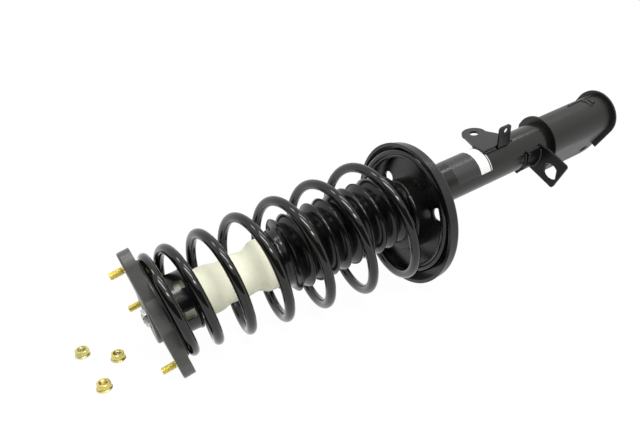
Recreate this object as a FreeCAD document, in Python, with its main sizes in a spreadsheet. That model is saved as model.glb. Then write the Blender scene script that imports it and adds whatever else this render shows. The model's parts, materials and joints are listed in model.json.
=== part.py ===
"""Rear spring strut with its mount, brackets and three loose flange nuts.

The strut lies on a level surface: two lobes of the mount plate and the rim of the lower
spring seat touch it. The origin is the centre of the upper stud circle, +X runs along the
level direction towards the knuckle bracket, +Y away from the hose bracket and +Z is up.
"""
import FreeCAD, Part
import math
import os
import Sketcher

V = FreeCAD.Vector
DOC = FreeCAD.newDocument("StrutAssembly")

# Driving sizes in millimetres and degrees
# Lengths along the strut are measured from the stud plane along the rod's axis
SIZES = [
    ("axis_drop", 2.8, "rod axis below the stud circle's centre"),
    ("axis_shift", 4.3, "rod axis to the hose bracket's side of that centre"),
    ("plate_pitch", 5.3, "stud plane leans this much towards the knuckle at its top"),
    ("plate_yaw", 1.8, "and this much at the side away from the hose bracket"),
    ("stud_turn", -2.75, "first stud from straight up, about the axis"),
    ("stud_circle", 126, "pitch circle of the three studs"),
    ("stud_radius", 4, "M8 studs"),
    ("stud_length", 15.3, "studs in front of the plate"),
    ("stud_head_radius", 6.5, "pressed head behind the plate"),
    ("stud_head_depth", 3, "its thickness"),
    ("stud_chamfer", 0.8, "tip of each stud"),
    ("stud_knurl", 0.3, "pressed shank in the plate is larger by this"),
    ("lobe_radius", 17.5, "round end of each lobe"),
    ("flank_radius", 45, "lobe flanks are tangent to a circle of this radius"),
    ("drum_radius", 50, "middle of the mount plate"),
    ("plate_depth", 13, "rim of the mount plate"),
    ("plate_sheet", 3, "sheet of the mount plate"),
    ("plate_edge", 2, "rounding of the front edge"),
    ("lobe_corner", 7, "rounding between lobe and middle"),
    ("hub_radius", 30, "round hub on the rod axis"),
    ("hub_rise", 2.3, "hub face in front of the stud plane"),
    ("hub_depth", 15, "hub wall"),
    ("hub_sheet", 2.5, "hub sheet"),
    ("hub_hole_radius", 12.5, "opening for the rod nut"),
    ("rod_radius", 10, "plated rod"),
    ("rod_thread_radius", 6, "M12 ends"),
    ("rod_tip", 7.5, "rod end in front of the stud plane"),
    ("rod_shoulder", 25.6, "where the thick part begins"),
    ("nut_across", 18, "rod nut across flats"),
    ("nut_height", 10, "rod nut"),
    ("nut_chamfer", 0.9, "its outer corners"),
    ("nut_grip", 1.5, "rod end in front of the nut"),
    ("thread_chamfer", 1, "tip of the rod"),
    ("overrun", 2, "tools reach this far past what they cut"),
    ("washer_sheet", 2.4, "both mount washers"),
    ("washer_room", 2, "rubber's recess round the upper washer"),
    ("rubber_taper", 2, "rubber narrows this much away from the nut"),
    ("upper_washer_radius", 11.5, "under the rod nut"),
    ("lower_washer_radius", 21, "under the rubber"),
    ("sleeve_wall", 3, "spacer sleeve"),
    ("rubber_gap", 2.5, "between rubber and lower washer"),
    ("cup_sheet", 1.6, "bump stop cup"),
    ("cup_radius", 34.5, "bump stop cup"),
    ("cup_end", 47, "open end of the cup"),
    ("cup_bead", 1, "bead round the open end"),
    ("cup_window_start", 31, "windows in the cup's wall"),
    ("cup_window_length", 11, "windows along the axis"),
    ("cup_window_width", 11, "windows round the wall"),
    ("cup_window_count", 6, "windows"),
    ("cup_window_turn", 15, "first window from straight up"),
    ("bump_gap", 0.6, "foam to rod"),
    ("bump_end", 145, "lower end of the bump stop"),
    ("bump_head_radius", 26, "its head in the cup"),
    ("bump_bulge_radius", 27.2, "first bulge"),
    ("bump_bulge_at", 66.8, "first bulge"),
    ("bump_waist_radius", 24.2, "waists"),
    ("bump_waist_at", 84.8, "first waist"),
    ("bump_second_radius", 25.8, "second bulge"),
    ("bump_second_at", 102, "second bulge"),
    ("bump_low_waist_at", 115, "second waist"),
    ("bump_foot_radius", 30.5, "foot that carries the boot"),
    ("bump_foot_at", 129.2, "start of the foot"),
    ("bump_round_half", 7, "half length of each bulge's crown"),
    ("bump_round_drop", 0.5, "bulges are lower at their ends"),
    ("bump_foot_slope", 2, "foot's shoulder"),
    ("boot_start", 141, "neck of the boot"),
    ("boot_flare", 158.5, "end of the neck"),
    ("boot_neck_wall", 3.5, "neck"),
    ("boot_crest_radius", 45, "ribs"),
    ("boot_valley_radius", 38.6, "between the ribs"),
    ("boot_wall", 2.1, "under the valleys"),
    ("boot_pitch", 15.8, "rib to rib"),
    ("boot_land", 2.4, "flat of each crest and valley"),
    ("boot_ribs", 9, "whole ribs below the flare"),
    ("soft_gap", 0.3, "soft pieces to their neighbours"),
    ("tube_radius", 25.5, "reserve tube"),
    ("tube_wall", 2, "reserve tube"),
    ("tube_start", 262, "mouth of the tube"),
    ("tube_end", 656, "lower end of the tube"),
    ("tube_lip_radius", 19, "rolled lip at the mouth"),
    ("cap_sheet", 1.8, "cap over the mouth"),
    ("cap_depth", 18, "skirt of the cap"),
    ("cap_hole_radius", 13, "hole for the rod"),
    ("seal_depth", 4, "flat of the rod seal"),
    ("seal_plug_radius", 17, "seal's plug in the guide"),
    ("seal_plug_depth", 6, "seal's plug in the guide"),
    ("guide_depth", 16, "guide's body"),
    ("guide_spigot", 10, "spigot in the pressure tube"),
    ("bush_wall", 2, "bush in the guide"),
    ("running_gap", 0.04, "running clearance on the rod and in the pressure tube"),
    ("pressure_radius", 17.5, "pressure tube"),
    ("pressure_wall", 1.5, "pressure tube"),
    ("base_sheet", 3, "cup that closes the tube"),
    ("base_depth", 14, "its skirt"),
    ("foot_height", 16, "foot valve under the pressure tube"),
    ("foot_plug", 8, "its plug in the pressure tube"),
    ("foot_leg_height", 7, "ring that it stands on"),
    ("foot_radius", 20.5, "its flange"),
    ("foot_leg_wall", 4, "ring that it stands on"),
    ("valve_play", 0.08, "check plates on their pins"),
    ("port_step", 1.5, "piston's ports lie this much further out"),
    ("port_radius", 1.6, "ports in both valves"),
    ("port_circle", 8.5, "radius that the ports lie on"),
    ("port_count", 6, "ports in each valve"),
    ("valve_radius", 12.5, "check plates"),
    ("valve_sheet", 1, "check plates"),
    ("valve_lift", 0.8, "travel of the check plates"),
    ("rivet_radius", 3, "foot valve's rivet"),
    ("rivet_head_radius", 5.5, "its heads"),
    ("rivet_head_height", 2, "its heads"),
    ("bumper_length", 9, "rebound bumper"),
    ("stop_length", 4, "rebound stop"),
    ("stop_radius", 14.2, "bumper and stop"),
    ("piston_at", 386, "top face of the piston"),
    ("piston_length", 15, "piston"),
    ("piston_gap", 0.6, "piston to pressure tube"),
    ("piston_nut_height", 8, "piston nut"),
    ("piston_nut_radius", 9, "piston nut"),
    ("ring_depth", 1.2, "groove of the slide ring"),
    ("ring_length", 8, "slide ring"),
    ("seat_at", 324, "lip plane of the pan on the axis"),
    ("seat_drop", 19.3, "centre of the pan below the rod axis"),
    ("seat_pitch", 9.2, "pan leans towards the knuckle at its top"),
    ("seat_yaw", 0.5, "and at its side away from the hose bracket"),
    ("seat_radius", 88.5, "pan"),
    ("seat_depth", 15.4, "pan"),
    ("seat_sheet", 2.6, "pan"),
    ("seat_lip", 1.6, "small out-turned lip"),
    ("boss_radius", 44, "raised middle of the pan"),
    ("boss_rise", 10.5, "raised middle in front of the lip plane"),
    ("seat_corner", 4, "rounded bends of the pan"),
    ("seat_hole_radius", 8, "holes in the pan's floor"),
    ("seat_hole_room", 10, "from the raised middle's edge to their centres"),
    ("seat_hole_turn", 63, "angle of each from straight up"),
    ("wire_radius", 5.8, "spring wire"),
    ("spring_high", 9, "spring axis above the rod axis at the stud plane"),
    ("spring_low", 15, "spring axis below the rod axis at the pan"),
    ("spring_turn", -26, "where whole turns lie, from straight up"),
    ("spring_first", -0.1, "turn at which the wire begins"),
    ("spring_last", 7.45, "turn at which it ends"),
    ("spring_small", 51, "radius of the first turn"),
    ("spring_room", 16, "last turn's middle line inside the pan's rim"),
    ("spring_from", 38.5, "place of the first whole turn"),
    ("spring_pitch", 36.3, "rise there per turn"),
    ("spring_growth", 2.1, "how the rise grows"),
    ("spring_widening", 6, "turns over which it widens"),
    ("spring_lift_blend", 2, "softness with which the wire leaves the upper seat"),
    ("spring_seat_drop", 2.6, "first turn is wider by this and lies lower by it"),
    ("spring_seat_until", 0.5, "turn at which this begins to fade"),
    ("spring_seat_fade", 0.5, "turns that this takes"),
    ("half_turn_2", -1.5, "second turn's top, from its even place along the axis"),
    ("half_turn_3", 3.5, "second turn's bottom"),
    ("half_turn_4", -2, "third turn's top"),
    ("half_turn_5", -1.7, "third turn's bottom"),
    ("half_turn_6", -0.5, "fourth turn's top"),
    ("half_turn_7", -3.3, "fourth turn's bottom"),
    ("half_turn_8", 0, "fifth turn's top"),
    ("half_turn_9", -2.8, "fifth turn's bottom"),
    ("half_turn_10", 0, "sixth turn's top"),
    ("half_turn_11", -0.8, "sixth turn's bottom"),
    ("spring_land_from", 6.8, "turn at which it begins to land on the pan"),
    ("spring_land_over", 0.35, "turns that this takes"),
    ("ring_sheet", 1.4, "upper spring seat"),
    ("ring_outer", 57.5, "upper spring seat"),
    ("insulator_sheet", 1.6, "rubber under the wire"),
    ("insulator_inset", 1, "rubber ends before the steel does"),
    ("insulator_collar", 4.6, "rubber collar inside the first turn"),
    ("insulator_rise", 3, "height of the rubber collar"),
    ("collar_wall", 1.6, "steel collar inside the rubber"),
    ("collar_rise", 1, "height of the steel collar"),
    ("wire_gap", 0.4, "wire to seat and rubber"),
    ("knuckle_start", 551, "near end of the knuckle bracket"),
    ("knuckle_end", 667.9, "far end"),
    ("knuckle_sheet", 2.5, "knuckle bracket"),
    ("knuckle_turn", 208, "direction of its ears from straight up"),
    ("knuckle_reach", 58, "ears from the axis"),
    ("knuckle_hole_reach", 42, "bolt holes from the axis"),
    ("knuckle_hole_radius", 6.5, "bolt holes"),
    ("knuckle_far_hole", 650, "far bolt hole"),
    ("knuckle_hole_spacing", 57, "bolt hole to bolt hole"),
    ("knuckle_corner", 14, "rounded ends of the ears"),
    ("knuckle_foot_reach", 36, "where the ears' near edge turns to the sleeve"),
    ("knuckle_foot_edge", 3, "ears reach past the near corner"),
    ("flange_reach", 6, "out-turned flanges"),
    ("near_flange_leg", 8, "near flange along the ears"),
    ("far_flange_leg", 38, "far flange along the ears"),
    ("link_sheet", 3, "stabiliser link ear"),
    ("link_hole_at", 469.9, "its hole along the axis"),
    ("link_hole_out", 33, "its hole beside the axis"),
    ("link_droop", 5.5, "ear slopes down by this many degrees"),
    ("link_hole_radius", 6, "its hole"),
    ("link_lobe_radius", 16, "round end of the ear"),
    ("link_root_start", 447, "ear where it meets the tube"),
    ("link_root_end", 492, "ear where it meets the tube"),
    ("link_near_edge", 8, "ear's edge on the hose bracket's side"),
    ("link_root_out", 10, "ear keeps its full width to here"),
    ("link_lobe_inset", 3, "narrower at the hole on the knuckle's side"),
    ("tab_sheet", 2.5, "wire tab"),
    ("tab_start", 468.8, "wire tab"),
    ("tab_width", 19, "wire tab"),
    ("tab_top", 54.5, "wire tab above the axis"),
    ("tab_hole_radius", 3.5, "its hole"),
    ("tab_hole_height", 47.5, "its hole above the axis"),
    ("tab_corner", 4, "its corners"),
    ("tab_hole_shift", 1.5, "its hole towards the knuckle from the middle"),
    ("hose_sheet", 3, "hose bracket"),
    ("hose_at", 530, "face of the hose plate"),
    ("hose_turn", 105.7, "direction of the hose plate"),
    ("hose_reach_high", 68.5, "hose plate's upper corner from the axis"),
    ("hose_reach_low", 62.8, "its lower corner"),
    ("hose_neck", 34.2, "where its upper edge begins"),
    ("hose_low", 23, "hose plate below its middle line"),
    ("hose_high", 22.8, "hose plate above its middle line"),
    ("hose_hole_height", -16.5, "hose hole above the rod axis"),
    ("hose_hole_out", 47.2, "hose hole beside the rod axis"),
    ("hose_hole_radius", 11.9, "hose hole"),
    ("hose_hole_flats", 19.4, "between its two flats"),
    ("hose_web", 23, "saddle between plate and finger"),
    ("hose_web_low", 20.5, "saddle below the middle line"),
    ("hose_web_high", 18, "saddle above the middle line"),
    ("hose_finger_low", 24, "tip of the finger below the middle line"),
    ("hose_finger_reach", 20.5, "tip of the finger from the axis"),
    ("hose_finger_root", 15.5, "narrow finger's lower edge"),
    ("hose_finger_shoulder", 2, "where the finger leaves the saddle"),
    ("hose_corner", 4, "corners of the hose plate"),
    ("loose_bore_radius", 4, "M8 flange nuts"),
    ("loose_flange_radius", 8.1, "flange of the loose nuts"),
    ("loose_flange_height", 1.8, "its rim"),
    ("loose_across", 13, "loose nuts across flats"),
    ("loose_height", 8, "loose nuts"),
    ("loose_far_x", -67, "nut furthest from the hose bracket's side"),
    ("loose_far_y", 39, "the same nut"),
    ("loose_far_turn", 20, "the same nut"),
    ("loose_mid_x", -34.8, "nut nearest the mount"),
    ("loose_mid_y", 12.7, "the same nut"),
    ("loose_mid_turn", 50, "the same nut"),
    ("loose_near_x", -57.5, "nut on the hose bracket's side"),
    ("loose_near_y", -29.3, "the same nut"),
    ("loose_near_turn", 5, "the same nut"),
]

# Places worked out from the sizes
PLACES = [
    ("bore_radius", "tube_radius - tube_wall"),
    ("sleeve_radius", "tube_radius + knuckle_sheet"),
    ("flange_radius", "sleeve_radius + flange_reach"),
    ("liner_radius", "pressure_radius - pressure_wall"),
    ("lobe_sin", "(flank_radius - lobe_radius) * 2 / stud_circle"),
    ("lobe_cos", "sqrt(1 - lobe_sin * lobe_sin)"),
    ("hub_back", "hub_depth - hub_rise"),
    ("cup_wall_inner", "cup_radius - cup_sheet"),
    ("cup_start", "rod_shoulder - cup_sheet"),
    ("lower_washer_start", "cup_start - washer_sheet"),
    ("nut_start", "nut_height + nut_grip - rod_tip"),
    ("nut_face", "nut_start - nut_height"),
    ("upper_washer_end", "nut_start + washer_sheet"),
    ("sleeve_radius_outer", "rod_thread_radius + sleeve_wall"),
    ("seal_start", "tube_start + tube_wall"),
    ("guide_start", "seal_start + seal_depth"),
    ("guide_shoulder", "guide_start + guide_depth"),
    ("guide_end", "guide_shoulder + guide_spigot"),
    ("bush_radius", "rod_radius + running_gap + bush_wall"),
    ("bumper_start", "guide_end + soft_gap"),
    ("stop_start", "bumper_start + bumper_length"),
    ("stop_end", "stop_start + stop_length"),
    ("base_face", "tube_end - base_depth"),
    ("foot_leg_start", "base_face - foot_leg_height"),
    ("foot_shoulder", "base_face - foot_height + foot_plug"),
    ("foot_top", "base_face - foot_height"),
    ("foot_valve_top", "foot_top - valve_sheet"),
    ("rivet_under_head", "foot_valve_top - valve_lift"),
    ("rivet_top", "rivet_under_head - rivet_head_height"),
    ("rivet_end", "foot_leg_start + rivet_head_height"),
    ("piston_end", "piston_at + piston_length"),
    ("rod_step", "piston_at - valve_sheet - valve_lift"),
    ("piston_valve_start", "piston_at - valve_sheet"),
    ("rod_end", "piston_end + piston_nut_height + 2"),
    ("piston_radius", "liner_radius - piston_gap"),
    ("ring_radius", "liner_radius - running_gap"),
    ("ring_groove", "piston_radius - ring_depth"),
    ("ring_start", "piston_at + (piston_length - ring_length) / 2"),
    ("neck_inner", "bump_foot_radius + soft_gap"),
    ("neck_outer", "neck_inner + boot_neck_wall"),
    ("boot_bore", "boot_valley_radius - boot_wall"),
    ("seat_floor", "seat_depth - seat_sheet"),
    ("seat_hole_circle", "boss_radius + seat_hole_room"),
    ("spring_wide", "seat_radius - spring_room"),
    ("boss_top", "-boss_rise"),
    ("ring_back", "plate_depth + ring_sheet"),
    ("insulator_back", "ring_back + insulator_sheet"),
    ("wire_plane", "insulator_back + wire_gap + wire_radius"),
    ("collar_outer", "spring_small + spring_seat_drop - wire_radius - 4 * wire_gap"),
    ("collar_inner", "collar_outer - insulator_collar"),
    ("pan_wire_plane", "seat_floor - wire_gap - wire_radius"),
    ("knuckle_length", "knuckle_end - knuckle_start"),
    ("knuckle_near_hole", "knuckle_far_hole - knuckle_hole_spacing"),
    ("knuckle_foot", "knuckle_near_hole - knuckle_corner - knuckle_foot_edge"),
    ("ear_near_edge", "(link_near_edge + tube_radius * sin(link_droop * 1deg)) / cos(link_droop * 1deg)"),
    ("tab_end", "tab_start + tab_width"),
    ("tab_hole_at", "tab_start + tab_width / 2 + tab_hole_shift"),
    ("hose_finger_at", "hose_at - hose_web"),
]


def fill_sheet():
    """One row for each driving size: alias, value and meaning."""
    sheet = DOC.addObject("Spreadsheet::Sheet", "sizes")
    for row, (alias, value, meaning) in enumerate(SIZES, 1):
        sheet.set(f"A{row}", alias)
        sheet.set(f"B{row}", str(value))
        sheet.setAlias(f"B{row}", alias)
        sheet.set(f"C{row}", meaning)
    DOC.recompute()
    return sheet


def fill_places():
    """Places follow the sheet through expressions."""
    holder = DOC.addObject("App::VarSet", "places")
    for alias, formula in PLACES:
        holder.addProperty("App::PropertyFloat", alias, "Places")
        holder.setExpression(alias, bound(formula))
    DOC.recompute()
    return holder


SIZE_NAMES = {alias for alias, value, meaning in SIZES}
PLACE_NAMES = {alias for alias, formula in PLACES}


def bound(formula):
    """A formula in plain names becomes an expression on the sheet and the places."""
    word = ""
    out = ""
    for letter in formula + " ":
        if letter.isalnum() or letter == "_":
            word += letter
            continue
        if word in SIZE_NAMES:
            word = "sizes." + word
        elif word in PLACE_NAMES:
            word = "places." + word
        out += word + letter
        word = ""
    return out.strip()


SHEET = fill_sheet()
PLACE = fill_places()
NODES = []


def get(alias):
    """Value of a driving size or of a place."""
    if alias in SIZE_NAMES:
        return float(SHEET.get(alias))
    return float(getattr(PLACE, alias))


def turn_about(axis, degrees):
    """Turn about a line through the origin."""
    return FreeCAD.Placement(V(), FreeCAD.Rotation(axis, degrees))


def shift(x, y, z):
    """Move without turning."""
    return FreeCAD.Placement(V(x, y, z), FreeCAD.Rotation())


def about_axis(radius, degrees):
    """Point at a radius, at an angle from straight up about the axis."""
    angle = math.radians(degrees)
    return V(0, -radius * math.sin(angle), radius * math.cos(angle))


# Local frames, before the strut is laid down
def plate_frame():
    """Stud plane: +X runs into the plate, at right angles to it."""
    lean = FreeCAD.Rotation(V(0, 1, 0), -get("plate_pitch"))
    swing = FreeCAD.Rotation(V(0, 0, 1), get("plate_yaw"))
    return FreeCAD.Placement(V(), swing.multiply(lean))


def axis_frame():
    """Rod axis, from the stud plane towards the knuckle bracket."""
    return shift(0, -get("axis_shift"), -get("axis_drop"))


def pan_frame():
    """Lower spring seat: origin at the lip plane's centre."""
    lean = FreeCAD.Rotation(V(0, 1, 0), get("seat_pitch"))
    swing = FreeCAD.Rotation(V(0, 0, 1), get("seat_yaw"))
    place = FreeCAD.Placement(V(get("seat_at"), 0, -get("seat_drop")), swing.multiply(lean))
    return axis_frame().multiply(place)


def ring_frame():
    """Upper spring seat: in the stud plane, centred on the spring's first turn."""
    along = get("wire_plane")
    fall = (get("spring_high") + get("spring_low")) * along / get("seat_at")
    height = get("spring_high") - get("spring_seat_drop") - fall
    centre = plate_frame().inverse().multVec(axis_frame().multVec(V(along, 0, height)))
    return plate_frame().multiply(shift(0, centre.y, centre.z))


# Path of the spring's wire
def spring_point(turn):
    """Point on the wire's centre line, in the rod axis' frame."""
    angle = math.radians(360 * turn + get("spring_turn"))
    whole = turn - 1
    along_axis = get("spring_from") + get("spring_pitch") * whole + get("spring_growth") * whole ** 2
    along_axis += uneven(turn)
    share = min(max(turn / get("spring_widening"), 0), 1)
    wider = get("spring_seat_drop") * (1 - eased(turn, get("spring_seat_until"), get("spring_seat_fade")))
    radius = get("spring_small") + (get("spring_wide") - get("spring_small")) * share + wider
    top = V(0, 0, get("spring_high"))
    foot = V(get("seat_at"), 0, -get("spring_low"))
    line = (foot - top).normalize()
    up = V(-line.z, 0, line.x)
    side = V(0, -1, 0)
    round_axis = up * math.cos(angle) + side * math.sin(angle)
    free = top + line * along_axis + round_axis * radius - up * wider
    first = on_plane(free, axis_frame().inverse().multiply(plate_frame()), get("wire_plane"))
    last = on_plane(free, axis_frame().inverse().multiply(pan_frame()), get("pan_wire_plane"))
    blend = get("spring_lift_blend")
    x = first + blend * math.log(1 + math.exp((free.x - first) / blend))
    x += (last - x) * eased(turn, get("spring_land_from"), get("spring_land_over"))
    return V(x, free.y, free.z)


def uneven(turn):
    """How far the wire lies from an even rise, smoothly from one top or bottom to the next."""
    half = 2 * (turn + get("spring_turn") / 360)
    low = math.floor(half)
    shifts = [get(f"half_turn_{k}") if f"half_turn_{k}" in SIZE_NAMES else 0 for k in (low, low + 1)]
    return shifts[0] + (shifts[1] - shifts[0]) * eased(half, low, 1)


def eased(turn, start, length):
    """Rises smoothly from 0 to 1 over a stretch of turns."""
    share = min(max((turn - start) / length, 0), 1)
    return share * share * (3 - 2 * share)


def on_plane(point, frame, depth):
    """Place along the axis at which a point lies at a depth in a frame."""
    normal = frame.Rotation.multVec(V(1, 0, 0))
    base = frame.multVec(V(depth, 0, 0))
    return base.x - ((point.y - base.y) * normal.y + (point.z - base.z) * normal.z) / normal.x


def spring_direction(turn):
    step = 0.002
    return (spring_point(turn + step) - spring_point(turn - step)).normalize()


# How the strut lies on the floor
def lowest_of_circle(place, radius, edge):
    """Lowest point of a rounded circular edge that faces -X of its frame."""
    normal = place.Rotation.multVec(V(1, 0, 0))
    centre = place.multVec(V(edge, 0, 0))
    return centre.z - (radius - edge) * math.sqrt(1 - normal.z ** 2) - edge


def lowest_of_spring(pose):
    """Lowest point of the wire in the spring's first turn."""
    place = pose.multiply(axis_frame())
    count = 90
    heights = []
    for step in range(count):
        slope = place.Rotation.multVec(spring_direction(step / count)).z
        middle = place.multVec(spring_point(step / count)).z
        heights.append(middle - get("wire_radius") * math.sqrt(1 - slope ** 2))
    return min(heights)


def lay_down():
    """Tilt, roll and floor height at which a lobe, the spring and the pan touch the floor."""
    tilt, roll = 0.0, 0.0
    half_base = get("stud_circle") / 2 * math.sin(math.radians(60))
    for step in range(30):
        lean = FreeCAD.Rotation(V(0, 1, 0), -tilt)
        pose = FreeCAD.Placement(V(), lean.multiply(FreeCAD.Rotation(V(1, 0, 0), roll)))
        centre = about_axis(get("stud_circle") / 2, get("stud_turn") + 120)
        place = pose.multiply(plate_frame()).multiply(shift(centre.x, centre.y, centre.z))
        lobe = lowest_of_circle(place, get("lobe_radius"), get("plate_edge"))
        spring = lowest_of_spring(pose)
        pan = lowest_of_circle(pose.multiply(pan_frame()), get("seat_radius") + get("seat_lip"), 0)
        tilt -= math.degrees((pan - lobe) / get("seat_at"))
        roll += math.degrees((lobe - spring) / half_base)
    print("tilt %.4f, roll %.4f, contacts at %.4f %.4f %.4f" % (tilt, roll, lobe, spring, pan))
    return pose, min(lobe, spring, pan)


POSE, FLOOR = lay_down()


def node(item, frame):
    """Registers a finished sub-part and lays it down with the strut."""
    item.Label = item.Name
    item.Placement = POSE.multiply(frame)
    NODES.append(item)
    return item


def origin_part(body, role):
    """Plane or axis of a body's own origin."""
    return [item for item in body.Origin.OriginFeatures if item.Role == role][0]


def new_body(name):
    return DOC.addObject("PartDesign::Body", name)


def pin_point(sketch, element, end, across, up):
    """Holds a point at two formulas, or on an axis where a formula is 0."""
    for kind, formula, axis in (("DistanceX", across, -2), ("DistanceY", up, -1)):
        if formula == "0":
            sketch.addConstraint(Sketcher.Constraint("PointOnObject", element, end, axis))
        else:
            index = sketch.addConstraint(Sketcher.Constraint(kind, -1, 1, element, end, 1.0))
            sketch.setExpression(f"Constraints[{index}]", bound(formula))


def outline(body, name, plane, corners, circles=()):
    """Sketch of one closed outline through corners, and of whole circles."""
    sketch = body.newObject("Sketcher::SketchObject", name)
    sketch.AttachmentSupport = [(origin_part(body, plane), "")]
    sketch.MapMode = "FlatFace"
    count = len(corners)
    ring = [V(math.cos(2 * math.pi * i / count), math.sin(2 * math.pi * i / count), 0) for i in range(count)]
    for index in range(count):
        sketch.addGeometry(Part.LineSegment(ring[index], ring[(index + 1) % count]), False)
    for index in range(count):
        sketch.addConstraint(Sketcher.Constraint("Coincident", index, 2, (index + 1) % count, 1))
    for index, (across, up) in enumerate(corners):
        pin_point(sketch, index, 1, across, up)
    for across, up, radius in circles:
        element = sketch.addGeometry(Part.Circle(V(1, 1, 0), V(0, 0, 1), 1.0), False)
        index = sketch.addConstraint(Sketcher.Constraint("Radius", element, 1.0))
        sketch.setExpression(f"Constraints[{index}]", bound(radius))
        pin_point(sketch, element, 3, across, up)
    DOC.recompute()
    return sketch


def turned(name, corners):
    """Body turned about X from an outline of (along, radius) corners."""
    body = new_body(name)
    sketch = outline(body, name + "_profile", "XZ_Plane", corners)
    turn = body.newObject("PartDesign::Revolution", name + "_turn")
    turn.Profile = sketch
    turn.ReferenceAxis = (sketch, ["H_Axis"])
    turn.Angle = 360
    DOC.recompute()
    return body


def slab(name, plane, corners, circles, thickness, both_sides=False):
    """Body padded from an outline."""
    body = new_body(name)
    sketch = outline(body, name + "_outline", plane, corners, circles)
    pad = body.newObject("PartDesign::Pad", name + "_pad")
    pad.Profile = sketch
    pad.setExpression("Length", bound(thickness))
    pad.Midplane = both_sides
    DOC.recompute()
    return body


def rounded(body, name, radius, wanted):
    """Rounds those edges of a body for which wanted(edge) is true."""
    tip = body.Tip
    names = [f"Edge{i + 1}" for i, edge in enumerate(tip.Shape.Edges) if wanted(edge)]
    fillet = body.newObject("PartDesign::Fillet", name)
    fillet.Base = (tip, names)
    fillet.setExpression("Radius", bound(radius))
    DOC.recompute()
    return fillet


def along(edge, direction):
    """True for a straight edge parallel to a direction."""
    first, last = edge.Vertexes[0].Point, edge.Vertexes[-1].Point
    run = last - first
    return run.Length > 0.1 and abs(run.normalize().dot(direction)) > 0.999


def ring_at(edge, place, radius):
    """True for a whole circle about X at a place and radius."""
    if not isinstance(edge.Curve, Part.Circle):
        return False
    return abs(edge.Curve.Center.x - place) < 0.01 and abs(edge.Curve.Radius - radius) < 0.01


def ports(body, name, circle, radius, count):
    """Ring of holes right through a body, parallel to X."""
    sketch = outline(body, name + "_circle", "YZ_Plane", [], [("0", circle, radius)])
    hole = body.newObject("PartDesign::Pocket", name)
    hole.Profile = sketch
    hole.Type = 1
    hole.Midplane = True
    DOC.recompute()
    pattern = body.newObject("PartDesign::PolarPattern", name + "_ring")
    pattern.Originals = [hole]
    pattern.Axis = (origin_part(body, "X_Axis"), [""])
    pattern.Angle = 360
    pattern.setExpression("Occurrences", bound(count))
    body.Tip = pattern
    DOC.recompute()


def primitive(kind, name, bindings, place=None):
    """Part primitive with its sizes bound to the sheet."""
    item = DOC.addObject("Part::" + kind, name)
    if place:
        item.Placement = place
    for prop, formula in bindings.items():
        item.setExpression(prop, bound(formula))
    return item


def rod_along_x(name, radius, length, start, y="0", z="0"):
    """Cylinder parallel to X."""
    place = turn_about(V(0, 1, 0), 90)
    bindings = {"Radius": radius, "Height": length, "Placement.Base.x": start,
                "Placement.Base.y": y, "Placement.Base.z": z}
    return primitive("Cylinder", name, bindings, place)


def drill(name, radius, length, frame, x, y, z):
    """Cylinder parallel to a frame's X, from a point in that frame."""
    item = primitive("Cylinder", name, {"Radius": radius, "Height": length})
    item.Placement = frame.multiply(shift(x, y, z)).multiply(turn_about(V(0, 1, 0), 90))
    return item


def cut(name, base, tool):
    item = DOC.addObject("Part::Cut", name)
    item.Base = base
    item.Tool = tool
    DOC.recompute()
    return item


def fuse(name, pieces):
    item = DOC.addObject("Part::MultiFuse", name)
    item.Shapes = pieces
    DOC.recompute()
    return item


# Damper tube and its ends
def reserve_tube():
    corners = [("tube_start", "tube_lip_radius"), ("tube_start", "tube_radius"),
               ("tube_end", "tube_radius"), ("tube_end", "bore_radius"),
               ("seal_start", "bore_radius"), ("seal_start", "tube_lip_radius")]
    node(turned("reserve_tube", corners), axis_frame())


def tube_cap():
    corners = [("tube_start - cap_sheet", "cap_hole_radius"),
               ("tube_start - cap_sheet", "tube_radius + cap_sheet"),
               ("tube_start - cap_sheet + cap_depth", "tube_radius + cap_sheet"),
               ("tube_start - cap_sheet + cap_depth", "tube_radius"),
               ("tube_start", "tube_radius"), ("tube_start", "cap_hole_radius")]
    body = turned("tube_cap", corners)
    face = get("tube_start") - get("cap_sheet")
    rim = get("tube_radius") + get("cap_sheet")
    rounded(body, "tube_cap_edge", "cap_sheet / 2", lambda edge: ring_at(edge, face, rim))
    node(body, axis_frame())


def tube_base_cup():
    corners = [("base_face", "0"), ("base_face", "bore_radius"), ("tube_end", "bore_radius"),
               ("tube_end", "bore_radius - base_sheet"),
               ("base_face + base_sheet", "bore_radius - base_sheet"),
               ("base_face + base_sheet", "0")]
    node(turned("tube_base_cup", corners), axis_frame())


def pressure_tube():
    corners = [("guide_shoulder", "liner_radius"), ("guide_shoulder", "pressure_radius"),
               ("foot_shoulder", "pressure_radius"), ("foot_shoulder", "liner_radius")]
    node(turned("pressure_tube", corners), axis_frame())


def rod_guide():
    corners = [("guide_start", "seal_plug_radius"), ("guide_start", "bore_radius"),
               ("guide_shoulder", "bore_radius"), ("guide_shoulder", "liner_radius"),
               ("guide_end", "liner_radius"), ("guide_end", "bush_radius"),
               ("guide_start + seal_plug_depth", "bush_radius"),
               ("guide_start + seal_plug_depth", "seal_plug_radius")]
    node(turned("rod_guide", corners), axis_frame())


def rod_guide_bush():
    corners = [("guide_start + seal_plug_depth", "rod_radius + running_gap"),
               ("guide_start + seal_plug_depth", "bush_radius"),
               ("guide_end", "bush_radius"), ("guide_end", "rod_radius + running_gap")]
    node(turned("rod_guide_bush", corners), axis_frame())


def rod_seal():
    corners = [("seal_start", "rod_radius + soft_gap"), ("seal_start", "bore_radius"),
               ("guide_start", "bore_radius"), ("guide_start", "seal_plug_radius"),
               ("guide_start + seal_plug_depth", "seal_plug_radius"),
               ("guide_start + seal_plug_depth", "rod_radius + soft_gap")]
    node(turned("rod_seal", corners), axis_frame())


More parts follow.
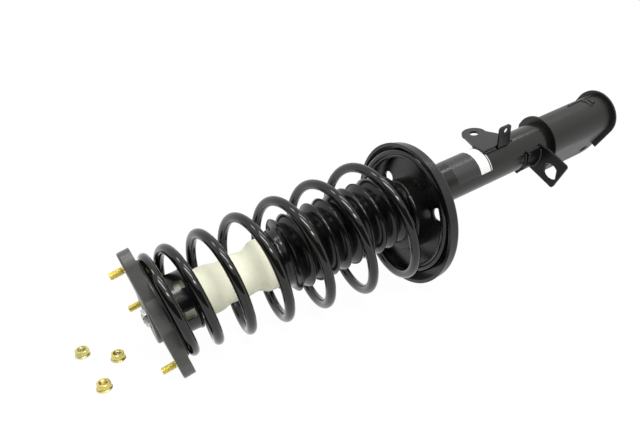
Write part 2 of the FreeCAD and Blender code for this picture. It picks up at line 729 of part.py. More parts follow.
# Foot valve at the lower end
def base_valve_body():
    corners = [("foot_top", "rivet_radius"), ("foot_top", "liner_radius"),
               ("foot_shoulder", "liner_radius"), ("foot_shoulder", "foot_radius"),
               ("base_face", "foot_radius"), ("base_face", "foot_radius - foot_leg_wall"),
               ("foot_leg_start", "foot_radius - foot_leg_wall"), ("foot_leg_start", "rivet_radius")]
    body = turned("base_valve_body", corners)
    ports(body, "base_valve_ports", "port_circle", "port_radius", "port_count")
    node(body, axis_frame())


def base_valve_plate():
    corners = [("foot_valve_top", "rivet_radius + valve_play"), ("foot_valve_top", "valve_radius"),
               ("foot_top", "valve_radius"), ("foot_top", "rivet_radius + valve_play")]
    node(turned("base_valve_plate", corners), axis_frame())


def base_valve_rivet():
    corners = [("rivet_top", "0"), ("rivet_top", "rivet_head_radius"),
               ("rivet_under_head", "rivet_head_radius"), ("rivet_under_head", "rivet_radius"),
               ("foot_leg_start", "rivet_radius"), ("foot_leg_start", "rivet_head_radius"),
               ("rivet_end", "rivet_head_radius"), ("rivet_end", "0")]
    node(turned("base_valve_rivet", corners), axis_frame())


# Rod and what is on it
def piston_rod():
    corners = [("-rod_tip", "0"), ("-rod_tip", "rod_thread_radius - thread_chamfer"),
               ("thread_chamfer - rod_tip", "rod_thread_radius"),
               ("rod_shoulder", "rod_thread_radius"), ("rod_shoulder", "rod_radius"),
               ("rod_step", "rod_radius"), ("rod_step", "rod_thread_radius"),
               ("rod_end", "rod_thread_radius"), ("rod_end", "0")]
    node(turned("piston_rod", corners), axis_frame())


def rebound_bumper():
    corners = [("bumper_start", "rod_radius"), ("bumper_start", "stop_radius"),
               ("stop_start", "stop_radius"), ("stop_start", "rod_radius")]
    node(turned("rebound_bumper", corners), axis_frame())


def rebound_stop():
    corners = [("stop_start", "rod_radius"), ("stop_start", "stop_radius"),
               ("stop_end", "stop_radius"), ("stop_end", "rod_radius")]
    node(turned("rebound_stop", corners), axis_frame())


def piston():
    corners = [("piston_at", "rod_thread_radius"), ("piston_at", "piston_radius"),
               ("ring_start", "piston_radius"), ("ring_start", "ring_groove"),
               ("ring_start + ring_length", "ring_groove"),
               ("ring_start + ring_length", "piston_radius"),
               ("piston_end", "piston_radius"), ("piston_end", "rod_thread_radius")]
    body = turned("piston", corners)
    ports(body, "piston_ports", "port_circle + port_step", "port_radius", "port_count")
    node(body, axis_frame())


def piston_ring():
    corners = [("ring_start", "ring_groove"), ("ring_start", "ring_radius"),
               ("ring_start + ring_length", "ring_radius"),
               ("ring_start + ring_length", "ring_groove")]
    node(turned("piston_ring", corners), axis_frame())


def piston_valve_plate():
    corners = [("piston_valve_start", "rod_thread_radius + valve_play"),
               ("piston_valve_start", "valve_radius"), ("piston_at", "valve_radius"),
               ("piston_at", "rod_thread_radius + valve_play")]
    node(turned("piston_valve_plate", corners), axis_frame())


def piston_nut():
    corners = [("piston_end", "rod_thread_radius"), ("piston_end", "piston_nut_radius"),
               ("piston_end + piston_nut_height", "piston_nut_radius"),
               ("piston_end + piston_nut_height", "rod_thread_radius")]
    node(turned("piston_nut", corners), axis_frame())


# Bump stop and boot
def bump_stop():
    corners = [("rod_shoulder", "rod_radius + bump_gap"), ("rod_shoulder", "bump_head_radius"),
               ("cup_end", "bump_head_radius"),
               ("bump_bulge_at - bump_round_half", "bump_bulge_radius - bump_round_drop"),
               ("bump_bulge_at", "bump_bulge_radius"),
               ("bump_bulge_at + bump_round_half", "bump_bulge_radius - bump_round_drop"),
               ("bump_waist_at", "bump_waist_radius"),
               ("bump_second_at - bump_round_half", "bump_second_radius - bump_round_drop"),
               ("bump_second_at", "bump_second_radius"), ("bump_low_waist_at", "bump_waist_radius"),
               ("bump_foot_at - 2 * bump_foot_slope", "bump_foot_radius - bump_foot_slope"),
               ("bump_foot_at", "bump_foot_radius"),
               ("bump_end", "bump_foot_radius"), ("bump_end", "rod_radius + bump_gap")]
    node(turned("bump_stop", corners), axis_frame())


def bump_stop_cup():
    corners = [("cup_start", "rod_thread_radius"), ("cup_start", "cup_radius - cup_bead"),
               ("cup_end - 3 * cup_bead", "cup_radius - cup_bead"),
               ("cup_end - 2 * cup_bead", "cup_radius"), ("cup_end", "cup_radius"),
               ("cup_end", "cup_wall_inner - cup_bead"),
               ("rod_shoulder", "cup_wall_inner - cup_bead"), ("rod_shoulder", "rod_thread_radius")]
    body = turned("cup_shell", corners)
    windows = []
    count = int(get("cup_window_count"))
    half = get("cup_window_width") / 2
    for index in range(count):
        bindings = {"Length": "cup_window_length", "Width": "cup_window_width", "Height": "cup_radius"}
        window = primitive("Box", f"cup_window_{index + 1}", bindings)
        turn = turn_about(V(1, 0, 0), 360 * index / count + get("cup_window_turn"))
        window.Placement = turn.multiply(shift(get("cup_window_start"), -half, get("cup_radius") / 2))
        windows.append(window)
    tools = fuse("cup_windows", windows)
    node(cut("bump_stop_cup", body, tools), axis_frame())


def dust_boot():
    """Bore and ribs: each rib is a ruled run through four circles about X."""
    ribs = int(get("boot_ribs"))
    half_land = get("boot_land") / 2
    crest = get("boot_crest_radius")
    valley = get("boot_valley_radius")
    pitch = get("boot_pitch")
    start = get("boot_flare")
    stations = [(start, crest), (start + half_land, crest)]
    for index in range(ribs + 1):
        dip = start + pitch * (index + 0.5)
        stations += [(dip - half_land, valley), (dip + half_land, valley)]
        if index < ribs:
            top = start + pitch * (index + 1)
            stations += [(top - half_land, crest), (top + half_land, crest)]
    wires = [Part.Wire([Part.makeCircle(radius, V(x, 0, 0), V(1, 0, 0))]) for x, radius in stations]
    skin = Part.makeLoft(wires, True, True)
    end = stations[-1][0]
    neck_start = get("boot_start")
    neck = Part.makeCylinder(get("neck_outer"), start - neck_start, V(neck_start, 0, 0), V(1, 0, 0))
    throat = Part.makeCylinder(get("neck_inner"), end - neck_start, V(neck_start, 0, 0), V(1, 0, 0))
    floor = start + get("boot_neck_wall")
    bore = Part.makeCylinder(get("boot_bore"), end - floor, V(floor, 0, 0), V(1, 0, 0))
    boot = DOC.addObject("Part::Feature", "dust_boot")
    boot.Shape = skin.fuse(neck).cut(throat).cut(bore).removeSplitter()
    node(boot, axis_frame())
    print("boot from %.1f to %.1f, volume %.0f" % (neck_start, end, boot.Shape.Volume))


# Upper mount
def lobed_block(name, lobe, flank, drum, depth):
    """Middle drum with three lobes, each of two straight flanks and a round end."""
    body = slab(name, "YZ_Plane", [], [("0", "0", drum)], depth)
    low_side, low_up = f"({flank}) * lobe_cos", f"({flank}) * lobe_sin"
    end_side, end_up = f"({lobe}) * lobe_cos", f"stud_circle / 2 + ({lobe}) * lobe_sin"
    flanks = [("-" + low_side, low_up), (low_side, low_up), (end_side, end_up), ("-" + end_side, end_up)]
    pads = []
    for part, corners, circles in (("flanks", flanks, []),
                                   ("end", [], [("0", "stud_circle / 2", lobe)])):
        pad = body.newObject("PartDesign::Pad", f"{name}_{part}_pad")
        pad.Profile = outline(body, f"{name}_{part}", "YZ_Plane", corners, circles)
        pad.setExpression("Length", bound(depth))
        DOC.recompute()
        pads.append(pad)
    pattern = body.newObject("PartDesign::PolarPattern", name + "_lobes")
    pattern.Originals = pads
    pattern.Axis = (origin_part(body, "X_Axis"), [""])
    pattern.Angle = 360
    pattern.Occurrences = 3
    body.Tip = pattern
    DOC.recompute()
    return body


def mount_plate():
    turned_frame = plate_frame().multiply(turn_about(V(1, 0, 0), get("stud_turn")))
    outer = lobed_block("plate_outer", "lobe_radius", "flank_radius", "drum_radius", "plate_depth")
    corner = get("drum_radius")
    straight = V(1, 0, 0)
    rounded(outer, "plate_corners", "lobe_corner",
            lambda edge: along(edge, straight)
            and abs(math.hypot(edge.Vertexes[0].Y, edge.Vertexes[0].Z) - corner) < 0.05)
    rounded(outer, "plate_front_edge", "plate_edge",
            lambda edge: max(abs(vertex.X) for vertex in edge.Vertexes) < 0.001)
    outer.Placement = turned_frame
    inner = lobed_block("plate_inner", "lobe_radius - plate_sheet", "flank_radius - plate_sheet",
                        "drum_radius - plate_sheet", "plate_depth")
    inner.Placement = turned_frame.multiply(shift(get("plate_sheet"), 0, 0))
    hub = turned("hub_outer", [("-hub_rise", "0"), ("-hub_rise", "hub_radius"),
                               ("hub_back", "hub_radius"), ("hub_back", "0")])
    face, rim = -get("hub_rise"), get("hub_radius")
    rounded(hub, "hub_edge", "plate_edge", lambda edge: ring_at(edge, face, rim))
    hub.Placement = axis_frame()
    hollow = turned("hub_hollow", [("-hub_rise - overrun", "0"), ("-hub_rise - overrun", "hub_hole_radius"),
                                   ("hub_sheet - hub_rise", "hub_hole_radius"),
                                   ("hub_sheet - hub_rise", "hub_radius - hub_sheet"),
                                   ("hub_back + overrun", "hub_radius - hub_sheet"),
                                   ("hub_back + overrun", "0")])
    hollow.Placement = axis_frame()
    shell = cut("plate_shell", outer, inner)
    whole = fuse("plate_with_hub", [shell, hub])
    bored = cut("plate_bored", whole, hollow)
    holes = []
    for index in range(3):
        spot = about_axis(get("stud_circle") / 2, get("stud_turn") + 120 * index)
        holes.append(drill(f"stud_hole_{index + 1}", "stud_radius + stud_knurl",
                           "plate_sheet + 2 * overrun", plate_frame(), -get("overrun"), spot.y, spot.z))
    node(cut("mount_plate", bored, fuse("stud_holes", holes)), FreeCAD.Placement())


def mount_studs():
    """Three studs, pressed in from behind."""
    studs = []
    for index in range(3):
        spot = about_axis(get("stud_circle") / 2, get("stud_turn") + 120 * index)
        stud = turned(f"stud_{index + 1}",
                      [("-stud_length", "0"), ("-stud_length", "stud_radius - stud_chamfer"),
                       ("stud_chamfer - stud_length", "stud_radius"), ("0", "stud_radius"),
                       ("0", "stud_radius + stud_knurl"), ("plate_sheet", "stud_radius + stud_knurl"),
                       ("plate_sheet", "stud_head_radius"),
                       ("plate_sheet + stud_head_depth", "stud_head_radius"),
                       ("plate_sheet + stud_head_depth", "0")])
        stud.Placement = shift(0, spot.y, spot.z)
        studs.append(stud)
    group = DOC.addObject("Part::Compound", "mount_studs")
    group.Links = studs
    DOC.recompute()
    node(group, plate_frame())


def mount_rubber():
    corners = [("hub_sheet - hub_rise", "upper_washer_radius + washer_room"),
               ("hub_sheet - hub_rise", "hub_radius - hub_sheet"),
               ("lower_washer_start - rubber_gap", "hub_radius - hub_sheet - rubber_taper"),
               ("lower_washer_start - rubber_gap", "sleeve_radius_outer"),
               ("upper_washer_end", "sleeve_radius_outer"),
               ("upper_washer_end", "upper_washer_radius + washer_room")]
    node(turned("mount_rubber", corners), axis_frame())


def mount_sleeve():
    corners = [("upper_washer_end", "rod_thread_radius"), ("upper_washer_end", "sleeve_radius_outer"),
               ("lower_washer_start", "sleeve_radius_outer"), ("lower_washer_start", "rod_thread_radius")]
    node(turned("mount_sleeve", corners), axis_frame())


def mount_washers():
    upper = [("nut_start", "rod_thread_radius"), ("nut_start", "upper_washer_radius"),
             ("upper_washer_end", "upper_washer_radius"), ("upper_washer_end", "rod_thread_radius")]
    node(turned("mount_washer_upper", upper), axis_frame())
    lower = [("lower_washer_start", "rod_thread_radius"), ("lower_washer_start", "lower_washer_radius"),
             ("cup_start", "lower_washer_radius"), ("cup_start", "rod_thread_radius")]
    node(turned("mount_washer_lower", lower), axis_frame())


def rod_nut():
    hexagon = primitive("Prism", "nut_hexagon",
                        {"Circumradius": "nut_across / sqrt(3)", "Height": "nut_height",
                         "Placement.Base.x": "nut_face"}, turn_about(V(0, 1, 0), 90))
    cone = turned("nut_cone", [("nut_face", "0"), ("nut_face", "nut_across / 2"),
                               ("nut_face + nut_chamfer", "nut_across / 2 + 2 * nut_chamfer"),
                               ("nut_start", "nut_across / 2 + 2 * nut_chamfer"), ("nut_start", "0")])
    rounded_nut = DOC.addObject("Part::Common", "nut_rounded")
    rounded_nut.Base = hexagon
    rounded_nut.Tool = cone
    bore = rod_along_x("nut_bore", "rod_thread_radius", "nut_height + 2 * overrun", "nut_face - overrun")
    node(cut("rod_nut", rounded_nut, bore), axis_frame())


def upper_spring_seat():
    corners = [("plate_depth", "collar_inner - collar_wall"), ("plate_depth", "ring_outer"),
               ("ring_back", "ring_outer"), ("ring_back", "collar_inner"),
               ("insulator_back + collar_rise", "collar_inner"),
               ("insulator_back + collar_rise", "collar_inner - collar_wall")]
    node(turned("upper_spring_seat", corners), ring_frame())


def upper_spring_insulator():
    corners = [("ring_back", "collar_inner"), ("ring_back", "ring_outer - insulator_inset"),
               ("insulator_back", "ring_outer - insulator_inset"), ("insulator_back", "collar_outer"),
               ("insulator_back + insulator_rise", "collar_outer"),
               ("insulator_back + insulator_rise", "collar_inner")]
    node(turned("upper_spring_insulator", corners), ring_frame())


# Lower spring seat
def lower_spring_seat():
    corners = [("0", "seat_radius - seat_sheet"), ("0", "seat_radius + seat_lip"),
               ("seat_lip", "seat_radius + seat_lip"), ("seat_lip", "seat_radius"),
               ("seat_depth", "seat_radius"), ("seat_depth", "boss_radius - seat_sheet"),
               ("boss_top + seat_sheet", "boss_radius - seat_sheet"),
               ("boss_top + seat_sheet", "0"), ("boss_top", "0"), ("boss_top", "boss_radius"),
               ("seat_floor", "boss_radius"), ("seat_floor", "seat_radius - seat_sheet")]
    pan = turned("seat_pan", corners)
    depth, wide = get("seat_depth"), get("seat_radius")
    top, boss = get("boss_top"), get("boss_radius")
    rounded(pan, "seat_bends", "seat_corner",
            lambda edge: ring_at(edge, depth, wide) or ring_at(edge, top, boss))
    pan.Placement = axis_frame().inverse().multiply(pan_frame())
    tube = rod_along_x("seat_bore", "tube_radius", "2 * seat_radius", "seat_at - seat_radius")
    holes = []
    for index, side in enumerate((1, -1)):
        spot = about_axis(get("seat_hole_circle"), side * get("seat_hole_turn"))
        holes.append(drill(f"seat_hole_{index + 1}", "seat_hole_radius", "seat_sheet + 2 * overrun",
                           pan.Placement, get("seat_floor") - get("overrun"), spot.y, spot.z))
    node(cut("lower_spring_seat", pan, fuse("seat_tools", [tube] + holes)), axis_frame())


# Spring
def arc_through(start, corner, end):
    """Arc tangent to start-corner and corner-end, whose two legs are equal."""
    middle = (start + end) * 0.5
    half = (end - start).Length / 2
    rise = (corner - middle).Length
    leg = (corner - start).Length
    radius = half * leg / rise
    bulge = radius - math.sqrt(radius ** 2 - half ** 2)
    crest = middle + (corner - middle).normalize() * bulge
    return Part.Arc(start, crest, end), radius


def biarc(start, leave, end, arrive):
    """Two arcs from start to end that leave and arrive along given directions."""
    chord = end - start
    both = leave + arrive
    spread = 2 * (1 - leave.dot(arrive))
    reach = chord.dot(both)
    leg = (math.sqrt(reach ** 2 + spread * chord.dot(chord)) - reach) / spread
    first = start + leave * leg
    last = end - arrive * leg
    joint = (first + last) * 0.5
    return [arc_through(start, first, joint), arc_through(joint, last, end)]


def coil_spring():
    """One unbroken wire: quarter turns of two arcs each, and a straight run at each end."""
    first, last = get("spring_first"), get("spring_last")
    count = max(int(round((last - first) * 4)), 4)
    turns = [first + (last - first) * i / count for i in range(count + 1)]
    wire = get("wire_radius")
    arcs, radii = [], []
    for low, high in zip(turns[:-1], turns[1:]):
        for arc, radius in biarc(spring_point(low), spring_direction(low),
                                 spring_point(high), spring_direction(high)):
            arcs.append(arc)
            radii.append(radius)
    head, tail = spring_point(first), spring_point(last)
    lead = head - spring_direction(first) * 2 * wire
    trail = tail + spring_direction(last) * 2 * wire
    edges = [Part.LineSegment(lead, head).toShape()]
    edges += [arc.toShape() for arc in arcs]
    edges.append(Part.LineSegment(tail, trail).toShape())
    path = Part.Wire(edges)
    profile = Part.Wire([Part.makeCircle(wire, lead, spring_direction(first))])
    sweep = Part.BRepOffsetAPI.MakePipeShell(path)
    sweep.add(profile)
    sweep.build()
    sweep.makeSolid()
    spring = DOC.addObject("Part::Feature", "coil_spring")
    spring.Shape = sweep.shape()
    points = []
    for edge in edges:
        points += edge.discretize(13)[:-1]
    per_turn = 12 * 8
    gap = min((points[i] - points[j]).Length
              for i in range(0, len(points), 2) for j in range(i + per_turn // 2, len(points), 2))
    ideal = math.pi * wire ** 2 * path.Length
    print("spring: tightest bend %.1f, least gap to itself %.2f, volume %.4f of section times length"
          % (min(radii), gap - 2 * wire, spring.Shape.Volume / ideal))
    node(spring, axis_frame())


# Brackets on the tube
def knuckle_bracket():
    """U-shaped sleeve: built with its ears pointing up, then turned about the axis."""
    half = "sleeve_radius"
    outer = fuse("knuckle_outer", [
        rod_along_x("knuckle_back", half, "knuckle_length", "knuckle_start"),
        primitive("Box", "knuckle_legs", {"Length": "knuckle_length", "Width": "2 * sleeve_radius",
                                          "Height": "knuckle_reach", "Placement.Base.x": "knuckle_start",
                                          "Placement.Base.y": "-sleeve_radius"})])
    corners = [("knuckle_start", "-sleeve_radius - overrun"), ("knuckle_end", "-sleeve_radius - overrun"),
               ("knuckle_end", "knuckle_reach"), ("knuckle_foot", "knuckle_reach"),
               ("knuckle_foot", "knuckle_foot_reach"), ("knuckle_start", "near_flange_leg")]
    profile = slab("knuckle_profile", "XZ_Plane", corners, [], "2 * (sleeve_radius + overrun)", True)
    reach = get("knuckle_reach")
    rounded(profile, "knuckle_corners", "knuckle_corner",
            lambda edge: along(edge, V(0, 1, 0)) and abs(edge.Vertexes[0].Z - reach) < 0.01)
    trimmed = DOC.addObject("Part::Common", "knuckle_trimmed")
    trimmed.Base = outer
    trimmed.Tool = profile
    flanges = []
    for end, leg, start in (("near", "near_flange_leg", "knuckle_start"),
                            ("far", "far_flange_leg", "knuckle_end - knuckle_sheet")):
        flanges.append(rod_along_x(f"{end}_flange_ring", "flange_radius", "knuckle_sheet", start))
        flanges.append(primitive("Box", f"{end}_flange_legs",
                                 {"Length": "knuckle_sheet", "Width": "2 * flange_radius",
                                  "Height": leg, "Placement.Base.x": start,
                                  "Placement.Base.y": "-flange_radius"}))
    block = fuse("knuckle_block", [trimmed] + flanges)
    inner = fuse("knuckle_inner", [
        rod_along_x("knuckle_bore", "tube_radius", "knuckle_length + 2 * overrun", "knuckle_start - overrun"),
        primitive("Box", "knuckle_gap", {"Length": "knuckle_length + 2 * overrun",
                                         "Width": "2 * tube_radius",
                                         "Height": "knuckle_reach + overrun",
                                         "Placement.Base.x": "knuckle_start - overrun",
                                         "Placement.Base.y": "-tube_radius"})])
    bolts = []
    for name, spot in (("near", "knuckle_near_hole"), ("far", "knuckle_far_hole")):
        bolts.append(primitive("Cylinder", f"{name}_bolt_hole",
                               {"Radius": "knuckle_hole_radius",
                                "Height": "2 * (sleeve_radius + overrun)",
                                "Placement.Base.x": spot,
                                "Placement.Base.y": "sleeve_radius + overrun",
                                "Placement.Base.z": "knuckle_hole_reach"}, turn_about(V(1, 0, 0), 90)))
    tools = fuse("knuckle_tools", [inner] + bolts)
    node(cut("knuckle_bracket", block, tools),
         axis_frame().multiply(turn_about(V(1, 0, 0), get("knuckle_turn"))))


def link_bracket():
    """Flat ear lying tangent on the tube's top."""
    corners = [("link_root_start", "-ear_near_edge"), ("link_root_end", "-ear_near_edge"),
               ("link_root_end", "link_root_out"),
               ("link_hole_at + link_lobe_radius - link_lobe_inset", "link_hole_out"),
               ("link_hole_at - link_lobe_radius", "link_hole_out"),
               ("link_root_start", "link_root_out")]
    ear = slab("link_ear", "XY_Plane", corners, [], "link_sheet")
    lobe = primitive("Cylinder", "link_lobe", {"Radius": "link_lobe_radius", "Height": "link_sheet",
                                               "Placement.Base.x": "link_hole_at",
                                               "Placement.Base.y": "link_hole_out"})
    hole = primitive("Cylinder", "link_hole", {"Radius": "link_hole_radius",
                                               "Height": "link_sheet + 2 * overrun",
                                               "Placement.Base.x": "link_hole_at",
                                               "Placement.Base.y": "link_hole_out",
                                               "Placement.Base.z": "-overrun"})
    body = cut("link_bracket", fuse("link_outline", [ear, lobe]), hole)
    droop = turn_about(V(1, 0, 0), -get("link_droop"))
    node(body, axis_frame().multiply(droop).multiply(shift(0, 0, get("tube_radius"))))


def sensor_wire_tab():
    """Upright tab on the link ear's edge."""
    corners = [("tab_start", "tube_radius"), ("tab_end", "tube_radius"),
               ("tab_end", "tab_top"), ("tab_start", "tab_top")]
    body = slab("sensor_wire_tab", "XZ_Plane", corners,
                [("tab_hole_at", "tab_hole_height", "tab_hole_radius")], "tab_sheet")
    top = get("tab_top")
    rounded(body, "tab_corners", "tab_corner",
            lambda edge: along(edge, V(0, 1, 0)) and abs(edge.Vertexes[0].Z - top) < 0.01)
    node(body, axis_frame().multiply(shift(0, -get("link_near_edge"), 0)))


def hose_bracket():
    """Plate across the axis with a double-D hole, a saddle on the tube and a short finger."""
    swing = turn_about(V(1, 0, 0), get("hose_turn"))
    plate = slab("hose_plate", "YZ_Plane", [("-hose_low", "tube_radius / 2"),
                                            ("hose_web_high", "tube_radius / 2"),
                                            ("hose_high", "hose_neck"), ("hose_high", "hose_reach_high"),
                                            ("-hose_low", "hose_reach_low")], [], "hose_sheet")
    reach = get("hose_reach_low")
    rounded(plate, "hose_corners", "hose_corner",
            lambda edge: along(edge, V(1, 0, 0)) and edge.Vertexes[0].Z > reach - 0.01)
    plate.Placement = swing.multiply(shift(get("hose_at"), 0, 0))
    side = slab("hose_side", "YZ_Plane", [("-hose_web_low", "0"), ("hose_web_high", "0"),
                                          ("hose_web_high", "2 * tube_radius"),
                                          ("-hose_web_low", "2 * tube_radius")], [], "hose_web")
    side.Placement = swing.multiply(shift(get("hose_finger_at"), 0, 0))
    saddle = DOC.addObject("Part::Common", "hose_saddle")
    saddle.Base = rod_along_x("hose_saddle_round", "tube_radius + hose_sheet", "hose_web", "hose_finger_at")
    saddle.Tool = side
    finger = slab("hose_finger", "YZ_Plane", [("-hose_finger_low", "hose_finger_root"),
                                              ("hose_web_high", "hose_finger_root"),
                                              ("hose_web_high", "tube_radius"),
                                              ("-hose_finger_shoulder", "tube_radius + hose_sheet"),
                                              ("-hose_finger_low", "hose_finger_reach")], [], "hose_sheet")
    finger.Placement = swing.multiply(shift(get("hose_finger_at"), 0, 0))
    barrel = rod_along_x("hose_hole_round", "hose_hole_radius", "hose_sheet + 2 * overrun",
                         "hose_at - overrun", "-hose_hole_out", "hose_hole_height")
    flats = primitive("Box", "hose_hole_flats_box",
                      {"Length": "hose_sheet + 2 * overrun", "Width": "hose_hole_flats",
                       "Height": "2 * hose_hole_radius", "Placement.Base.x": "hose_at - overrun",
                       "Placement.Base.y": "-hose_hole_out - hose_hole_flats / 2",
                       "Placement.Base.z": "hose_hole_height - hose_hole_radius"})
    hole = DOC.addObject("Part::Common", "hose_hole")
    hole.Base = barrel
    hole.Tool = flats
    tube = rod_along_x("hose_tube_cut", "tube_radius", "4 * hose_web", "hose_at - 2 * hose_web")
    whole = fuse("hose_sheets", [plate, saddle, finger])
    node(cut("hose_bracket", whole, fuse("hose_tools", [hole, tube])), axis_frame())


# Loose nuts beside the mount
def loose_flange_nuts():
    """Three flange nuts lying flange down on the floor."""
    nuts = []
    for index in ("far", "mid", "near"):
        hexagon = primitive("Prism", f"loose_hexagon_{index}",
                            {"Circumradius": "loose_across / sqrt(3)", "Height": "loose_height"})
        flange = primitive("Cylinder", f"loose_flange_{index}",
                           {"Radius": "loose_flange_radius", "Height": "loose_flange_height"})
        slope = primitive("Cone", f"loose_slope_{index}",
                          {"Radius1": "loose_flange_radius", "Radius2": "loose_across / 2",
                           "Height": "loose_flange_height", "Placement.Base.z": "loose_flange_height"})
        bore = primitive("Cylinder", f"loose_bore_{index}",
                         {"Radius": "loose_bore_radius", "Height": "loose_height + 2 * overrun",
                          "Placement.Base.z": "-overrun"})
        nut = cut(f"loose_nut_{index}", fuse(f"loose_block_{index}", [hexagon, flange, slope]), bore)
        nut.Placement = turn_about(V(0, 0, 1), get(f"loose_{index}_turn"))
        nut.setExpression("Placement.Base.x", bound(f"loose_{index}_x"))
        nut.setExpression("Placement.Base.y", bound(f"loose_{index}_y"))
        nuts.append(nut)
    group = DOC.addObject("Part::Compound", "loose_flange_nuts")
    group.Links = nuts
    DOC.recompute()
    group.Label = group.Name
    group.Placement = shift(0, 0, FLOOR)
    NODES.append(group)


def print_mounts():
    """Where others fasten the strut: place and direction in the part's frame."""
    ears = axis_frame().multiply(turn_about(V(1, 0, 0), get("knuckle_turn")))
    across = V(0, 1, 0)
    reach = get("knuckle_hole_reach")
    out = -get("link_hole_out")
    places = [("strut axis", axis_frame(), V(0, 0, 0), V(1, 0, 0)),
              ("upper studs", plate_frame(), V(0, 0, 0), V(-1, 0, 0)),
              ("far bolt", ears, V(get("knuckle_far_hole"), 0, reach), across),
              ("near bolt", ears, V(get("knuckle_near_hole"), 0, reach), across),
              ("link hole", axis_frame().multiply(turn_about(V(1, 0, 0), -get("link_droop"))),
               V(get("link_hole_at"), -out, get("tube_radius")), V(0, 0, 1)),
              ("tab hole", axis_frame(), V(get("tab_hole_at"), -get("link_near_edge") - get("tab_sheet") / 2,
                                           get("tab_hole_height")), V(0, 1, 0))]
    for name, frame, spot, way in places:
        place = POSE.multiply(frame)
        spot, way = place.multVec(spot), place.Rotation.multVec(way)
        print("%s at %.4f %.4f %.4f along %.6f %.6f %.6f"
              % (name, spot.x, spot.y, spot.z, way.x, way.y, way.z))


def check_and_write():
    """Every object has to be sound before anything is written."""
    DOC.recompute()
    for item in DOC.Objects:
        if "Invalid" in item.State or "Error" in item.State:
            raise RuntimeError(f"{item.Name} failed: {item.State}")
    os.makedirs("parts", exist_ok=True)
    for item in NODES:
        shape = item.Shape
        if shape.isNull() or not shape.isValid() or not shape.Solids:
            raise RuntimeError(f"{item.Label} has no sound shape")
        shape.exportStep(f"parts/{item.Label}.step")


def main():
    reserve_tube()
    tube_cap()
    tube_base_cup()
    pressure_tube()
    rod_guide()
    rod_guide_bush()
    rod_seal()
    base_valve_body()
    base_valve_plate()
    base_valve_rivet()
    piston_rod()
    rebound_bumper()
    rebound_stop()
    piston()
    piston_ring()
    piston_valve_plate()
    piston_nut()
    bump_stop()
    bump_stop_cup()
    dust_boot()
    mount_plate()
    mount_studs()
    mount_rubber()
    mount_sleeve()
    mount_washers()
    rod_nut()
    upper_spring_seat()
    upper_spring_insulator()
    lower_spring_seat()
    coil_spring()
    knuckle_bracket()
    link_bracket()
    sensor_wire_tab()
    hose_bracket()
    loose_flange_nuts()
    check_and_write()
    print_mounts()
    print("floor %.4f, %d nodes" % (FLOOR, len(NODES)))


main()
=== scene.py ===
"""Rear spring strut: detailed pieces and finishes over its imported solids."""

import json
import math

import bmesh
import bpy
from mathutils import Matrix, Vector


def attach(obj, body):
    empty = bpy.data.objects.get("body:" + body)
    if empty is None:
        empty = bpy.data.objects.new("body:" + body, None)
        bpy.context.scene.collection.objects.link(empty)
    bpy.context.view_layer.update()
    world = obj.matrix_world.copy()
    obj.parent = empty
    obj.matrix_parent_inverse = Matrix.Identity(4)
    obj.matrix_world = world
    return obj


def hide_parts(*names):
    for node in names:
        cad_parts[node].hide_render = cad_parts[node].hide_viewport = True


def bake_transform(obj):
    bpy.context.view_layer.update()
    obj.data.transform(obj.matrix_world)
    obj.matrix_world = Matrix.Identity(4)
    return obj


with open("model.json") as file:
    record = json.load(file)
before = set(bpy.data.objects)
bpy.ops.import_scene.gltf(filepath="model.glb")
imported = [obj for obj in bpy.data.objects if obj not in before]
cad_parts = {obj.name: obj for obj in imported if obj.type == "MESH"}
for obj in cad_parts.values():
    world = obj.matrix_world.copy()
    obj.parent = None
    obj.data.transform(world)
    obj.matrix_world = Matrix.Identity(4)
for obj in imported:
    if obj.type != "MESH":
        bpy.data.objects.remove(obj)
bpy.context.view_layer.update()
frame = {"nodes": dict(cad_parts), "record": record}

bl_info = {
    "name": "Rear spring strut",
    "version": (1, 0, 0),
    "blender": (4, 5, 0),
    "location": "View3D > Sidebar > Strut",
    "description": "Builds the strut's detailed pieces, finishes and stage",
    "category": "Object",
}

# The strut's own frame: millimetres along the rod axis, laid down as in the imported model
TILT, ROLL = 10.3192, 11.4520
AXIS_SHIFT, AXIS_DROP = 4.3, 2.8
FLOOR = -54.1843
PLATE_YAW, PLATE_LEAN = 1.8, -5.3
PAN_START, PAN_DROP = 324.0, 19.3
PAN_YAW, PAN_LEAN = 0.5, 9.2
MM = Matrix.Scale(0.001, 4)
POSE = Matrix.Rotation(math.radians(-TILT), 4, "Y") @ Matrix.Rotation(math.radians(ROLL), 4, "X")
ON_AXIS = Matrix.Translation((0, -AXIS_SHIFT, -AXIS_DROP))
STRUT = MM @ POSE @ ON_AXIS
ON_PLATE = (Matrix.Rotation(math.radians(PLATE_YAW), 4, "Z")
            @ Matrix.Rotation(math.radians(PLATE_LEAN), 4, "Y"))
PLATE = MM @ POSE @ ON_PLATE
ON_PAN = (ON_AXIS @ Matrix.Translation((PAN_START, 0, -PAN_DROP))
          @ Matrix.Rotation(math.radians(PAN_YAW), 4, "Z") @ Matrix.Rotation(math.radians(PAN_LEAN), 4, "Y"))
PAN = MM @ POSE @ ON_PAN

# Radii, and places along the axis
STUD_CIRCLE, STUD_TURN = 63.0, -2.75
TUBE = 25.5
SLEEVE_START = 551.0
BLANK_STRIP = (431.0, 446.3)
BLANK_LINE = (448.0, 449.0)

# Spring: middle line of its wire, in millimetres and turns
WIRE_PLANE, PAN_WIRE_PLANE = 22.2, 6.6
SPRING_STARTS, SPRING_ENDS = -0.1, 7.45
START_ANGLE = 26
FIRST_RISE, SPRING_PITCH, PITCH_GROWTH = 38.5, 36.3, 2.1
TOP_RADIUS, RADIUS_GROWTH, GROWING_TURNS = 51, 21.5, 6
FIRST_TURN_WIDER = 2.6
TOP_OFFSET, PAN_OFFSET = 9, -15

# Softness of the bend where the wire leaves the plate, in millimetres
TUCK = 2

